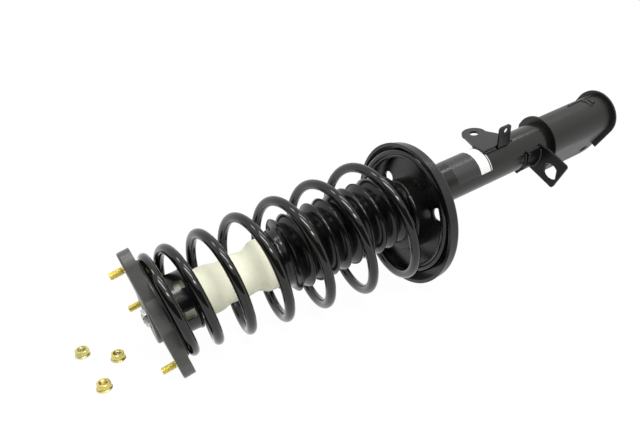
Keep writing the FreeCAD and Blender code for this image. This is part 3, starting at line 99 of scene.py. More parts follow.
# Turn at which the wire begins to leave the plate or to meet the pan, and over how many turns
LEAVES_PLATE, MEETS_PAN = (0.5, 0.5), (6.8, 0.35)

# Tops (even) and bottoms (odd) of the spring's turns that lie off an even rise, in millimetres
HALF_TURNS = {2: -1.5, 3: 3.5, 4: -2.0, 5: -1.7, 6: -0.5, 7: -3.3, 9: -2.8, 11: -0.8}

# Share of the mount's travel that the boot's neck takes; the bump stop falls to it along its length
NECK_SHARE = 0.823
STOP_FROM, STOP_LENGTH = 47, 98

# Seams round the tube: place along it, lift off it, first and last angle, share of the weld's width
ROUND_SEAMS = (
    (656.6, -1.0, -50, 50, 0.7),
    (656.6, -1.0, -140, -75, 0.7),
    (656.6, -1.0, 75, 118, 0.7),
    (529.6, 3.4, 72, 150, 0.8),
    (506.0, 0.3, 70, 120, 0.7),
    (641.0, 1.7, -14, 22, 1.1),
    (647.5, 1.7, -6, 18, 1.3),
)

# Seams along the tube: start, end, place beside the axis, share of the weld's width
STRAIGHT_SEAMS = (
    (448, 468, -8.4, 24.4, 0.8),
    (488.5, 497, -6.0, 24.9, 0.8),
    (450, 490, 15.5, 21.6, 0.7),
    (614, 661, 8.0, 26.7, 0.7),
)

# Place of the seam between pan and tube, in the pan's frame
SEAT_FOOT = -7.0

# Place of each loose nut on the floor, and its turn in degrees
LOOSE_NUTS = {"far": (-67.0, 39.0, 20), "mid": (-34.8, 12.7, 50), "near": (-57.5, -29.3, 5)}


# User's sizes and colours
class StrutSizes(bpy.types.PropertyGroup):
    wire: bpy.props.FloatProperty(name="Spring wire", description="Diameter of the spring's wire in mm",
                                  default=11.6, min=8, max=12)
    rib: bpy.props.FloatProperty(name="Boot rib", description="Outer radius of the boot's ribs in mm",
                                 default=45.0, min=40, max=46)
    stud_pitch: bpy.props.FloatProperty(name="Stud thread", default=1.25, min=0.5, max=2,
                                        description="Thread pitch of studs and nuts in mm")
    rod_pitch: bpy.props.FloatProperty(name="Rod thread", description="Thread pitch of the rod's end in mm",
                                       default=1.25, min=0.5, max=2)
    weld: bpy.props.FloatProperty(name="Weld", description="Width of the weld beads in mm",
                                  default=5.0, min=2, max=8)


def colour(name, text, value):
    """A colour that the user can change."""
    return bpy.props.FloatVectorProperty(name=name, description=text, subtype="COLOR", size=3,
                                         min=0, max=1, default=value)


class StrutColours(bpy.types.PropertyGroup):
    tube: colour("Tube", "Gloss paint of the damper tube", (0.007, 0.007, 0.006))
    coating: colour("Brackets", "Coating of brackets and spring seats", (0.004, 0.004, 0.004))
    plate: colour("Mount plate", "Coating of the mount plate", (0.060, 0.060, 0.058))
    spring: colour("Spring", "Coating of the coil spring", (0.0035, 0.0035, 0.003))
    yellow_zinc: colour("Yellow zinc", "Plating of the loose nuts", (0.78, 0.60, 0.15))
    # Stud zinc: the nuts' yellow zinc made brighter as painted light on the studs, with a slightly yellower
    # tone of their own.
    stud_zinc_painted_light: colour("Stud zinc", "Plating of the studs", (0.98, 0.86, 0.28))
    silver_zinc: colour("Silver zinc", "Plating of the rod nut", (0.60, 0.61, 0.62))
    foam: colour("Foam", "Bump stop", (0.88, 0.88, 0.69))
    boot: colour("Boot", "Rubber of the dust boot", (0.003, 0.003, 0.003))


# Shader expressions
class Link:
    """One output socket that can stand in an expression."""

    def __init__(self, nodes, socket):
        self.nodes = nodes
        self.socket = socket

    def math(self, operation, *values):
        """A Math node on values and links."""
        return self.nodes.add("ShaderNodeMath", {"operation": operation}, dict(enumerate(values)))

    def __add__(self, other):
        return self.math("ADD", self, other)

    __radd__ = __add__

    def __sub__(self, other):
        return self.math("SUBTRACT", self, other)

    def __rsub__(self, other):
        return self.math("SUBTRACT", other, self)

    def __mul__(self, other):
        return self.math("MULTIPLY", self, other)

    __rmul__ = __mul__

    def clip(self):
        """Kept from 0 to 1."""
        return self.nodes.add("ShaderNodeClamp", {}, {"Value": self})

    def above(self, edge, blur):
        """0 below the edge, 1 above it, with a soft step."""
        return self.nodes.add("ShaderNodeMapRange", {"interpolation_type": "SMOOTHSTEP"},
                               {"Value": self, "From Min": edge - blur, "From Max": edge + blur})


class Nodes:
    """The shader nodes of a material or of the world."""

    def __init__(self, owner, end):
        owner.use_nodes = True
        self.tree = owner.node_tree
        self.tree.nodes.clear()
        self.end = self.tree.nodes.new(end)

    def feed(self, socket, value):
        """Links a socket, or sets it."""
        if isinstance(value, Link):
            self.tree.links.new(value.socket, socket)
        else:
            socket.default_value = value

    def add(self, kind, settings=None, sockets=None, out=0):
        """A node of this kind with its settings and sockets; gives one of its outputs."""
        node = self.tree.nodes.new(kind)
        for name, value in (settings or {}).items():
            if name == "stops":
                while len(node.color_ramp.elements) > 1:
                    node.color_ramp.elements.remove(node.color_ramp.elements[-1])
                for index, (place, tint) in enumerate(value):
                    stop = node.color_ramp.elements[0] if index == 0 else node.color_ramp.elements.new(place)
                    stop.position = place
                    stop.color = (*tint, 1.0)
            else:
                setattr(node, name, value)
        for name, value in (sockets or {}).items():
            self.feed(node.inputs[name], value)
        return Link(self, node.outputs[out])

    def rays(self, *kinds):
        """1 where the ray is of one of these kinds, otherwise 0."""
        outputs = self.add("ShaderNodeLightPath").socket.node.outputs
        seen = Link(self, outputs[kinds[0]])
        for kind in kinds[1:]:
            seen = seen.math("MAXIMUM", seen, Link(self, outputs[kind]))
        return seen

    def close(self, surface):
        """Sends a shader to the end of the tree."""
        self.tree.links.new(surface.socket, self.end.inputs["Surface"])


class Finish(Nodes):
    """A material whose nodes are written as expressions."""

    def __init__(self, name):
        self.material = bpy.data.materials.new(name)
        super().__init__(self.material, "ShaderNodeOutputMaterial")

    def place(self):
        """Position in the strut's own frame, in millimetres."""
        raw = self.add("ShaderNodeTexCoord", out=3)
        turn = POSE.to_euler("XYZ")
        return self.add("ShaderNodeMapping", {"vector_type": "TEXTURE"},
                        {"Vector": raw, "Location": tuple(STRUT.to_translation()),
                         "Rotation": tuple(turn), "Scale": (0.001, 0.001, 0.001)})

    def split(self, vector):
        """The three numbers of a vector."""
        node = self.add("ShaderNodeSeparateXYZ", {}, {"Vector": vector})
        return [Link(self, socket) for socket in node.socket.node.outputs]

    def noise(self, vector, size, detail=3.0, rough=0.5, stretch=None):
        """Noise from 0 to 1 whose lumps are about this many millimetres."""
        if stretch:
            vector = self.add("ShaderNodeVectorMath", {"operation": "MULTIPLY"}, {0: vector, 1: stretch})
        return self.add("ShaderNodeTexNoise", {"noise_dimensions": "3D"},
                        {"Vector": vector, "Scale": 1.0 / size, "Detail": detail, "Roughness": rough})

    def cells(self, vector, size):
        """Distance to the nearest of scattered points this many millimetres apart."""
        return self.add("ShaderNodeTexVoronoi", {"feature": "F1"},
                        {"Vector": vector, "Scale": 1.0 / size}, "Distance")

    def blend(self, share, first, second):
        """Between two colours by a share."""
        first, second = ((*tint, 1.0) if isinstance(tint, tuple) else tint for tint in (first, second))
        return self.add("ShaderNodeMix", {"data_type": "RGBA"}, {0: share, 6: first, 7: second}, 2)

    def bump(self, height, depth):
        """Normal from a height; depth is in millimetres."""
        return self.add("ShaderNodeBump", {}, {"Height": height, "Distance": depth * 0.001,
                                               "Strength": 1.0})

    def coat(self, base, roughness, metallic=0.0, normal=None, specular=0.5, sheen=0.0):
        """Ends the material with one surface shader."""
        sockets = {"Base Color": base, "Roughness": roughness, "Metallic": metallic,
                   "Specular IOR Level": specular, "Sheen Weight": sheen, "Sheen Roughness": 0.5}
        if normal is not None:
            sockets["Normal"] = normal
        self.close(self.add("ShaderNodeBsdfPrincipled", {}, sockets))
        return self.material


def shade(tint, factor):
    """A lighter or darker tint."""
    return tuple(min(1.0, part * factor) for part in tint)


# Finishes
def gloss_paint(name, tint, roughness):
    """Glossy black paint with orange peel, faint dust and fine scratches, more satin on the sleeve."""
    skin = Finish(name)
    spot = skin.place()
    peel = skin.noise(spot, 2.2, 2.0)
    cloud = skin.noise(spot, 34.0, 4.0, 0.6)
    dust = skin.noise(spot, 0.55, 2.0).above(0.74, 0.04) * skin.noise(spot, 22.0, 3.0).above(0.52, 0.1)
    scratch = skin.noise(spot, 1.3, 3.0, stretch=(0.06, 1.0, 1.0)).above(0.71, 0.03)
    base = skin.blend(cloud, shade(tint, 0.8), shade(tint, 1.3))
    base = skin.blend(dust * 0.25, base, (0.12, 0.115, 0.1))
    satin = skin.split(spot)[0].above(SLEEVE_START, 1.0)
    rough = roughness + satin * 0.2 + cloud * 0.1 + scratch * 0.14 + dust * 0.3
    return skin.coat(base, rough, normal=skin.bump(peel * 0.6 + cloud * 0.6, 0.012), specular=0.46)


def powder_coat(name, tint, roughness, grain, dirt, depth, specular=0.4):
    """Sprayed coating: fine texture, thinner and greyer patches, scattered specks of dust."""
    skin = Finish(name)
    spot = skin.place()
    fine = skin.noise(spot, grain, 2.0)
    wide = skin.noise(spot, 18.0, 4.0, 0.6)
    specks = skin.noise(spot, 0.5, 1.0).above(0.73, 0.04)
    base = skin.blend(wide, shade(tint, 0.75), shade(tint, 1.45))
    base = skin.blend(specks * dirt, base, (0.1, 0.095, 0.085))
    rough = roughness + wide * 0.16 + fine * 0.1 - 0.08
    return skin.coat(base, rough, normal=skin.bump(fine + wide * 0.8, depth), specular=specular)


def plating(name, tint, tones, roughness):
    """Zinc plating: crystalline grain with patches of other tones."""
    skin = Finish(name)
    spot = skin.place()
    drift = skin.noise(spot, 9.0, 3.0, 0.6)
    grain = skin.noise(spot, 0.35, 3.0, 0.6)
    stops = [(0.3 + 0.4 * index / (len(tones) - 1), tone) for index, tone in enumerate(tones)]
    base = skin.add("ShaderNodeValToRGB", {"stops": stops}, {"Fac": drift})
    base = skin.blend(grain.above(0.6, 0.15) * 0.35, base, shade(tint, 0.45))
    rough = roughness + grain * 0.18 + drift * 0.12 - 0.06
    return skin.coat(base, rough, 1.0, skin.bump(grain, 0.02))


def turned_steel(name, tint, roughness, pitch):
    """Machined steel: fine rings round the axis, light stains of oil."""
    skin = Finish(name)
    spot = skin.place()
    rings = skin.noise(spot, pitch, 2.0, stretch=(1.0, 0.04, 0.04))
    stain = skin.noise(spot, 14.0, 4.0, 0.6)
    base = skin.blend(stain, shade(tint, 0.72), shade(tint, 1.12))
    base = skin.blend(rings.above(0.62, 0.1) * 0.3, base, shade(tint, 0.5))
    return skin.coat(base, roughness + rings * 0.14 + stain * 0.1, 1.0, skin.bump(rings, 0.015))


def porous(name, tint, metallic, roughness, pore, depth):
    """Pressed and sintered metal: dull, with open pores."""
    skin = Finish(name)
    spot = skin.place()
    pores = skin.cells(spot, pore)
    wide = skin.noise(spot, 9.0, 4.0)
    hole = 1 - pores.above(0.28, 0.1)
    base = skin.blend(wide, shade(tint, 0.8), shade(tint, 1.2))
    base = skin.blend(hole * 0.7, base, shade(tint, 0.25))
    return skin.coat(base, roughness + hole * 0.2, metallic, skin.bump(pores, depth))


def foam(name, tint):
    """Moulded microcellular foam: a fine skin with pores, faint yellowing and handling marks."""
    skin = Finish(name)
    spot = skin.place()
    fine = skin.cells(spot, 0.55)
    wide = skin.noise(spot, 15.0, 4.0, 0.6)
    pits = 1 - skin.cells(spot, 1.9).above(0.16, 0.07)
    marks = skin.noise(spot, 5.0, 3.0).above(0.63, 0.08)
    base = skin.blend(wide, shade(tint, 0.9), shade(tint, 1.06))
    base = skin.blend(pits * 0.55, base, shade(tint, 0.5))
    base = skin.blend(marks * 0.15, base, shade(tint, 0.78))
    height = fine * 0.4 - pits * 0.9 + wide * 0.5
    return skin.coat(base, 0.72 + wide * 0.12, normal=skin.bump(height, 0.12), specular=0.3, sheen=0.1)


def rubber(name, tint, roughness, specular):
    """Moulded rubber: fine grain, paler bloom and a few scuffs."""
    skin = Finish(name)
    spot = skin.place()
    fine = skin.noise(spot, 0.5, 2.0)
    bloom = skin.noise(spot, 11.0, 4.0, 0.65)
    scuff = skin.noise(spot, 2.4, 3.0, stretch=(1.0, 0.3, 0.3)).above(0.7, 0.04)
    base = skin.blend(bloom, shade(tint, 0.7), shade(tint, 1.5))
    base = skin.blend(scuff * 0.2, base, shade(tint, 3.0))
    rough = roughness + bloom * 0.1 + scuff * 0.06
    return skin.coat(base, rough, normal=skin.bump(fine * 0.5 + bloom, 0.02), specular=specular)


def label_film(name):
    """Blank sleeve on the tube: black film, a bare pale strip and one thin pale line beside it."""
    skin = Finish(name)
    spot = skin.place()
    fibre = skin.noise(spot, 0.6, 3.0)
    along = skin.split(spot)[0] + skin.noise(spot, 3.0, 2.0) * 0.3
    strip = along.above(BLANK_STRIP[0], 0.2) * (1 - along.above(BLANK_STRIP[1], 0.2))
    line = along.above(BLANK_LINE[0], 0.15) * (1 - along.above(BLANK_LINE[1], 0.15))
    pale = strip + line
    base = skin.blend(pale.clip(), (0.012, 0.012, 0.012), (0.74, 0.74, 0.72))
    base = skin.blend(fibre * 0.16, base, (0.2, 0.2, 0.19))
    return skin.coat(base, 0.34 + pale * 0.14, normal=skin.bump(fibre, 0.02), specular=0.45)


# Finishes by slot or by their own name, and the nodes whose finish isn't their slot's
FINISH = {}
OWN_FINISH = {"hose_bracket": "hose_coating"}


def prepare_finishes(colours):
    """One material for each of the record's slots, and those of the added pieces."""
    paint = {name: tuple(getattr(colours, name)) for name in StrutColours.__annotations__}
    gold = paint["yellow_zinc"]
    silver = paint["silver_zinc"]
    FINISH.update({
        "tube_paint": gloss_paint("tube_gloss_paint", paint["tube"], 0.18),
        "black_coating": powder_coat("bracket_coating", paint["coating"], 0.22, 0.7, 0.15, 0.02, 0.48),
        "hose_coating": powder_coat("hose_bracket_coating", paint["coating"], 0.3, 0.7, 0.15, 0.02, 0.16),
        "mount_plate_paint": powder_coat("mount_plate_coating", paint["plate"], 0.28, 0.6, 0.15, 0.04, 0.5),
        "spring_coating": powder_coat("spring_coating", paint["spring"], 0.05, 0.9, 0.1, 0.003, 0.5),
        "yellow_zinc": plating("yellow_zinc_plating", gold,
                               [(0.52, 0.38, 0.18), gold, (0.78, 0.68, 0.26), (0.56, 0.56, 0.24),
                                (0.6, 0.42, 0.2)], 0.29),
        # The studs' plating is a lighter copy of the yellow zinc: painted light on the studs, plus a slightly
        # yellower tone.
        "stud_zinc_painted_light": plating("stud_plating", paint["stud_zinc_painted_light"],
                             [(0.74, 0.64, 0.28), (0.96, 0.84, 0.26), (0.95, 0.88, 0.38),
                              (0.86, 0.7, 0.22)], 0.42),
        "silver_zinc": plating("silver_zinc_plating", silver,
                               [shade(silver, 0.7), silver, (0.62, 0.62, 0.58), shade(silver, 1.15)], 0.22),
        "bare_steel": turned_steel("machined_steel", (0.52, 0.51, 0.5), 0.24, 0.25),
        "hard_chrome": turned_steel("hard_chrome", (0.78, 0.78, 0.79), 0.06, 0.12),
        "sintered_steel": porous("sintered_steel", (0.3, 0.29, 0.28), 0.9, 0.5, 0.6, 0.05),
        "bush_bronze": porous("sintered_bronze", (0.56, 0.4, 0.2), 1.0, 0.36, 0.45, 0.03),
        "cup_plastic": powder_coat("cup_moulding", (0.004, 0.004, 0.004), 0.14, 0.35, 0.1, 0.015, 0.45),
        "ring_plastic": powder_coat("slide_ring", (0.07, 0.06, 0.05), 0.5, 0.3, 0.0, 0.02),
        "foam_cream": foam("cream_foam", paint["foam"]),
        "boot_rubber": rubber("boot_rubber", paint["boot"], 0.13, 0.4),
        "seal_rubber": rubber("black_rubber", (0.012, 0.012, 0.012), 0.5, 0.35),
        "weld": powder_coat("painted_weld", paint["coating"], 0.3, 1.1, 0.35, 0.12),
        "label": label_film("blank_label"),
    })


# Shapes
def piece(name, points, faces, place, slot, sharp, finish=None):
    """A mesh object whose points are given in millimetres in a frame of the strut."""
    mesh = bpy.data.meshes.new(name)
    mesh.from_pydata([place @ Vector(point) for point in points], [], faces)
    work = bmesh.new()
    work.from_mesh(mesh)
    bmesh.ops.remove_doubles(work, verts=work.verts, dist=2e-6)
    bmesh.ops.recalc_face_normals(work, faces=work.faces)
    work.to_mesh(mesh)
    work.free()
    mesh.polygons.foreach_set("use_smooth", [True] * len(mesh.polygons))
    mesh.set_sharp_from_angle(angle=math.radians(sharp))
    mesh.materials.append(FINISH[finish or slot])
    item = bpy.data.objects.new(name, mesh)
    bpy.context.scene.collection.objects.link(item)
    return item


class Shell:
    """Points and faces gathered for one piece."""

    def __init__(self):
        self.points = []
        self.faces = []

    def rows(self, rows, closed=True, loop=False):
        """Joins rows of points; closed joins each row's ends, loop joins the last row to the first."""
        base = len(self.points)
        wide = len(rows[0])
        for row in rows:
            self.points.extend(row)
        count = len(rows)
        for i in range(count if loop else count - 1):
            for j in range(wide if closed else wide - 1):
                a, b = i * wide + j, i * wide + (j + 1) % wide
                c, d = ((i + 1) % count) * wide + (j + 1) % wide, ((i + 1) % count) * wide + j
                self.faces.append([base + k for k in (a, b, c, d)])
        return self

    def cap(self, row):
        """A flat end over a row of points."""
        base = len(self.points)
        self.points.extend(row)
        self.faces.append(list(range(base, base + len(row))))
        return self

    def take(self, other, move):
        """Adds another shell, moved."""
        base = len(self.points)
        self.points.extend(moved(other.points, move))
        self.faces.extend([[base + k for k in face] for face in other.faces])
        return self


def moved(points, move):
    """Points under a matrix."""
    return [move @ Vector(point) for point in points]


def within(share):
    """A share kept from 0 to 1."""
    return min(max(share, 0), 1)


def off_axis(along, radius, angle):
    """Point beside the axis, its angle counted from straight up."""
    return (along, -radius * math.sin(angle), radius * math.cos(angle))


def circle_row(along, radius, steps):
    """Points round the axis, from straight up."""
    return [off_axis(along, radius, 2 * math.pi * j / steps) for j in range(steps)]


def softened(corners, radius):
    """Outline with rounded corners; a corner may carry its own radius as a third number."""
    result = []
    count, steps = len(corners), 4
    for i, corner in enumerate(corners):
        before, here, after = (Vector(corners[k % count][:2]) for k in (i - 1, i, i + 1))
        wanted = corner[2] if len(corner) > 2 else radius
        back, on = before - here, after - here
        missing = wanted <= 0 or min(back.length, on.length) < 1e-6
        half = 0.0 if missing else back.angle(on) / 2
        if missing or half > math.radians(89):
            result.append(tuple(here))
            continue
        reach = min(wanted / math.tan(half), 0.45 * back.length, 0.45 * on.length)
        arc = reach * math.tan(half)
        centre = here + (back.normalized() + on.normalized()).normalized() * (arc / math.sin(half))
        start, end = here + back.normalized() * reach - centre, here + on.normalized() * reach - centre
        sweep = start.angle_signed(end)
        for k in range(steps + 1):
            turn = -sweep * k / steps
            result.append((centre.x + start.x * math.cos(turn) - start.y * math.sin(turn),
                           centre.y + start.x * math.sin(turn) + start.y * math.cos(turn)))
    return result


def turned(shell, outline, steps):
    """A closed outline of (along, radius) swept round the axis."""
    return shell.rows([circle_row(along, radius, steps) for along, radius in outline], loop=True)


def flowing(points, steps):
    """Smooth line through (along, radius) points."""
    result = []
    for i in range(len(points) - 1):
        p0, p1 = points[max(i - 1, 0)], points[i]
        p2, p3 = points[i + 1], points[min(i + 2, len(points) - 1)]
        for k in range(steps):
            t = k / steps
            result.append(tuple(0.5 * (2 * b + (c - a) * t + (2 * a - 5 * b + 4 * c - d) * t * t
                                       + (3 * b - a - 3 * c + d) * t ** 3)
                                for a, b, c, d in zip(p0, p1, p2, p3)))
    result.append(points[-1])
    return result


def thread_depth(share):
    """Depth of a 60 degree thread from 0 at the crest to 1 at the root, over one pitch."""
    share %= 1.0
    slope = 0.36
    if share < 0.1:
        return 0.0
    if share < 0.1 + slope:
        return (share - 0.1) / slope
    if share < 0.54:
        return 1.0
    return max(0.0, 1 - (share - 0.54) / slope)


def threaded(shell, start, end, crest, pitch, bevel, inside=False, steps=36):
    """A helical thread from start to end; its ends are bevelled, and closed unless it is inside a hole."""
    depth = 0.613 * pitch * (-1 if inside else 1)
    across = 8
    first = start - pitch
    count = int(math.ceil((end + pitch - first) / pitch * across))
    rows = []
    for i in range(count + 1):
        row = []
        for j in range(steps + 1):
            angle = 2 * math.pi * j / steps
            raw = first + pitch * (i / across + j / steps - 1)
            along = min(max(raw, start), end)
            radius = crest - depth * thread_depth(i / across)
            edge = min(along - start, end - along)
            if inside:
                radius = max(radius, crest - depth + bevel - edge)
            else:
                radius = min(radius, crest - bevel + edge)
            row.append(off_axis(along, radius, angle))
        rows.append(row)
    shell.rows(rows, closed=False)
    if not inside:
        for along in (start, end):
            shell.cap(circle_row(along, crest - bevel, steps))
    return shell


def hex_radius(angle, across, corner):
    """Radius of a hexagon with slightly rounded corners."""
    local = (angle + math.pi / 6) % (math.pi / 3) - math.pi / 6
    return min(across / 2 / math.cos(local), corner)


def follow(path, radii, steps, outward):
    """Rows of points round a path of vectors; outward gives the direction of each row's first point."""
    rows = []
    for i, point in enumerate(path):
        along = (path[min(i + 1, len(path) - 1)] - path[max(i - 1, 0)]).normalized()
        up = (outward[i] - along * outward[i].dot(along)).normalized()
        side = along.cross(up)
        angles = [2 * math.pi * j / steps for j in range(steps)]
        rows.append([point + up * (math.cos(angle) * radii[i]) + side * (math.sin(angle) * radii[i])
                     for angle in angles])
    return rows


def between(place_in, place_out):
    """Turns millimetres in one frame into millimetres in another."""
    return place_out.inverted() @ place_in


# Spring
def eased(turn, start, length):
    """From 0 to 1 with a soft start and end."""
    share = within((turn - start) / length)
    return share * share * (3 - 2 * share)


def uneven(turn):
    """How far the wire lies from an even rise, smoothly from one top or bottom to the next."""
    half = 2 * (turn - START_ANGLE / 360)
    low = math.floor(half)
    first, second = HALF_TURNS.get(low, 0.0), HALF_TURNS.get(low + 1, 0.0)
    return first + (second - first) * eased(half, low, 1)


def on_plane(point, place, depth):
    """Place along the axis at which a point reaches a depth in a frame."""
    local = between(place, STRUT)
    normal = (local.to_3x3() @ Vector((1, 0, 0))).normalized()
    base = local @ Vector((depth, 0, 0))
    return base.x - ((point.y - base.y) * normal.y + (point.z - base.z) * normal.z) / normal.x


def spring_point(turn):
    """Point on the wire's middle line."""
    angle = math.radians(360 * turn - START_ANGLE)
    risen = turn - 1
    along = FIRST_RISE + SPRING_PITCH * risen + PITCH_GROWTH * risen ** 2 + uneven(turn)
    wider = FIRST_TURN_WIDER * (1 - eased(turn, *LEAVES_PLATE))
    radius = TOP_RADIUS + RADIUS_GROWTH * within(turn / GROWING_TURNS) + wider
    top = Vector((0, 0, TOP_OFFSET))
    line = (Vector((PAN_START, 0, PAN_OFFSET)) - top).normalized()
    up = Vector((-line.z, 0, line.x))
    side = Vector((0, -1, 0))
    free = top + line * along + (up * math.cos(angle) + side * math.sin(angle)) * radius - up * wider
    first = on_plane(free, PLATE, WIRE_PLANE)
    last = on_plane(free, PAN, PAN_WIRE_PLANE)
    x = first + TUCK * math.log(1 + math.exp((free.x - first) / TUCK))
    x += (last - x) * eased(turn, *MEETS_PAN)
    return Vector((x, free.y, free.z))


def set_weights(item, share):
    """Bakes the piece's place into its points and works out the share of the mount's travel that each point
    would take at its place in the strut's frame; the shares are not kept.
    """
    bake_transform(item)
    to_strut = STRUT.inverted()
    weights = [share(to_strut @ vertex.co) for vertex in item.data.vertices]


class STRUT_OT_spring(bpy.types.Operator):
    """Winds the coil spring with smoothly cut ends"""
    bl_idname = "strut.spring"
    bl_label = "Wind spring"

    def execute(self, context):
        wire = context.scene.strut_sizes.wire / 2
        first, last, rows_per_turn, bevel = SPRING_STARTS, SPRING_ENDS, 60, 0.8
        count = int((last - first) * rows_per_turn)
        turns = [first + (last - first) * i / count for i in range(count + 1)]
        path = [spring_point(turn) for turn in turns]
        lead = (path[0] - path[1]).normalized()
        trail = (path[-1] - path[-2]).normalized()
        head = [path[0] + lead * reach for reach in (2 * wire, 2 * wire - bevel, wire)]
        tail = [path[-1] + trail * reach for reach in (wire, 2 * wire - bevel, 2 * wire)]
        radii = [wire - bevel] + [wire] * (len(path) + 4) + [wire - bevel]
        path = head + path + tail
        turns = [first] * len(head) + turns + [last] * len(tail)
        rows = follow(path, radii, 24, [Vector((0, point.y, point.z)) for point in path])
        shell = Shell().rows(rows).cap(rows[0]).cap(rows[-1])
        item = piece("coil_spring_wound", shell.points, shell.faces, STRUT, "spring_coating", 50)

        def share(spot):
            nearest = min(range(0, len(path), 2), key=lambda k: (path[k] - spot).length_squared)
            return within((last - turns[nearest]) / (last - first))

        set_weights(item, share)
        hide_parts("coil_spring")
        return {"FINISHED"}


# Boot, bump stop and rubbers
class STRUT_OT_boot(bpy.types.Operator):
    """Moulds the ribbed dust boot as a thin shell"""
    bl_idname = "strut.boot"
    bl_label = "Mould boot"

    def execute(self, context):
        crest = context.scene.strut_sizes.rib
        valley, start, pitch, end, wall, steps = 37.4, 158.5, 15.8, 309.8, 1.9, 14

        def rib(share, round_top, narrow):
            return valley + (crest - valley) * (1 - share ** round_top) ** narrow

        waves = []
        for i in range(int((end - start) / pitch * steps) + 1):
            along = start + pitch * i / steps
            waves.append((along, abs((i / steps + 0.5) % 1 - 0.5) * 2))
        neck = [(141.0, 31.6), (141.4, 33.6), (142.6, 34.3), (145.0, 34.3), (146.2, 33.2), (149.5, 33.0),
                (150.8, 34.1), (153.0, 34.3), (155.6, 34.9), (157.2, 36.8), (157.9, 40.0), (158.6, 42.6),
                (159.9, 44.3)]
        outer = [(along, rib(share, 1.5, 1.1)) for along, share in waves if along > 160.5]
        mouth = [(end - 0.6, valley + 0.1), (end, valley - 0.4), (end, valley - 1.6), (end - 0.5, 36.7)]
        inner = [(along, rib(share, 1.4, 1.15) - wall) for along, share in reversed(waves)
                 if 161.5 < along < end - 1]
        neck_inside = [(161.2, 42.3), (160.4, 40.0), (159.4, 36.5), (157.4, 33.0), (154.0, 31.0),
                       (142.0, 30.8)]
        shell = turned(Shell(), neck + outer + mouth + inner + neck_inside, 144)
        item = piece("dust_boot_moulded", shell.points, shell.faces, STRUT, "boot_rubber", 60)
        set_weights(item, lambda spot: NECK_SHARE * within((end - spot.x) / (end - start)))
        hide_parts("dust_boot")
        return {"FINISHED"}


class STRUT_OT_bump_stop(bpy.types.Operator):
    """Foams the bump stop with its bulges and waists"""
    bl_idname = "strut.bump_stop"
    bl_label = "Foam bump stop"

    def execute(self, context):
        line = flowing([(27.6, 25.6), (36.0, 26.0), (47.0, 26.0), (53.5, 26.2), (59.8, 26.9), (66.8, 27.3),
                        (73.8, 26.8), (79.5, 25.1), (84.8, 24.1), (90.0, 24.6), (95.0, 25.4), (102.0, 25.8),
                        (108.0, 25.0), (114.0, 24.3), (118.0, 24.9), (122.0, 27.0), (125.6, 29.2)], 5)
        foot = [(127.6, 30.1), (130.0, 30.4), (140.0, 30.5), (143.6, 30.3), (144.6, 29.6), (144.9, 28.4),
                (144.9, 12.2), (144.0, 11.2), (142.0, 10.7)]
        outline = [(25.9, 11.6), (25.9, 24.6), (26.4, 25.3)] + line + foot + [(26.6, 10.7)]
        shell = turned(Shell(), outline, 120)
        item = piece("bump_stop_foamed", shell.points, shell.faces, STRUT, "foam_cream", 50)
        set_weights(item, lambda spot: 1 - (1 - NECK_SHARE) * within((spot.x - STOP_FROM) / STOP_LENGTH))
        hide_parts("bump_stop")
        return {"FINISHED"}


def ring_place():
    """The mount plate's frame, centred on the spring's first turn."""
    fall = (TOP_OFFSET - PAN_OFFSET) * WIRE_PLANE / PAN_START
    centre = between(STRUT, PLATE) @ Vector((WIRE_PLANE, 0, TOP_OFFSET - FIRST_TURN_WIDER - fall))
    return PLATE @ Matrix.Translation((0, centre.y, centre.z))


class STRUT_OT_rubbers(bpy.types.Operator):
    """Moulds the mount's rubber and the ring under the spring's first turn"""
    bl_idname = "strut.rubbers"
    bl_label = "Mould rubbers"

    def execute(self, context):
        outline = softened([(0.3, 13.6, 0.8), (0.3, 27.4, 1.0), (19.1, 25.4, 1.4), (18.2, 18.5, 2.5),
                            (19.1, 14.5, 2.0), (19.1, 9.1, 0.4), (6.5, 9.1, 0.2), (6.5, 13.6, 0.8)], 1.0)
        bonded = turned(Shell(), outline, 96)
        item = piece("mount_rubber_bonded", bonded.points, bonded.faces, STRUT, "seal_rubber", 45)
        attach(item, "rod_and_mount")
        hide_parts("mount_rubber")

        outline = softened([(14.5, 42.5, 0.3), (14.5, 56.4, 0.5), (16.0, 56.4, 0.6), (16.0, 52.0, 0.4),
                            (15.6, 51.0, 0.4), (16.0, 50.0, 0.4), (16.0, 47.0, 1.2), (18.9, 46.2, 0.8),
                            (18.9, 42.5, 0.4)], 0.4)
        ring = turned(Shell(), outline, 144)
        item = piece("upper_insulator_moulded", ring.points, ring.faces, ring_place(), "seal_rubber", 40)
        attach(item, "rod_and_mount")
        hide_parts("upper_spring_insulator")
        return {"FINISHED"}


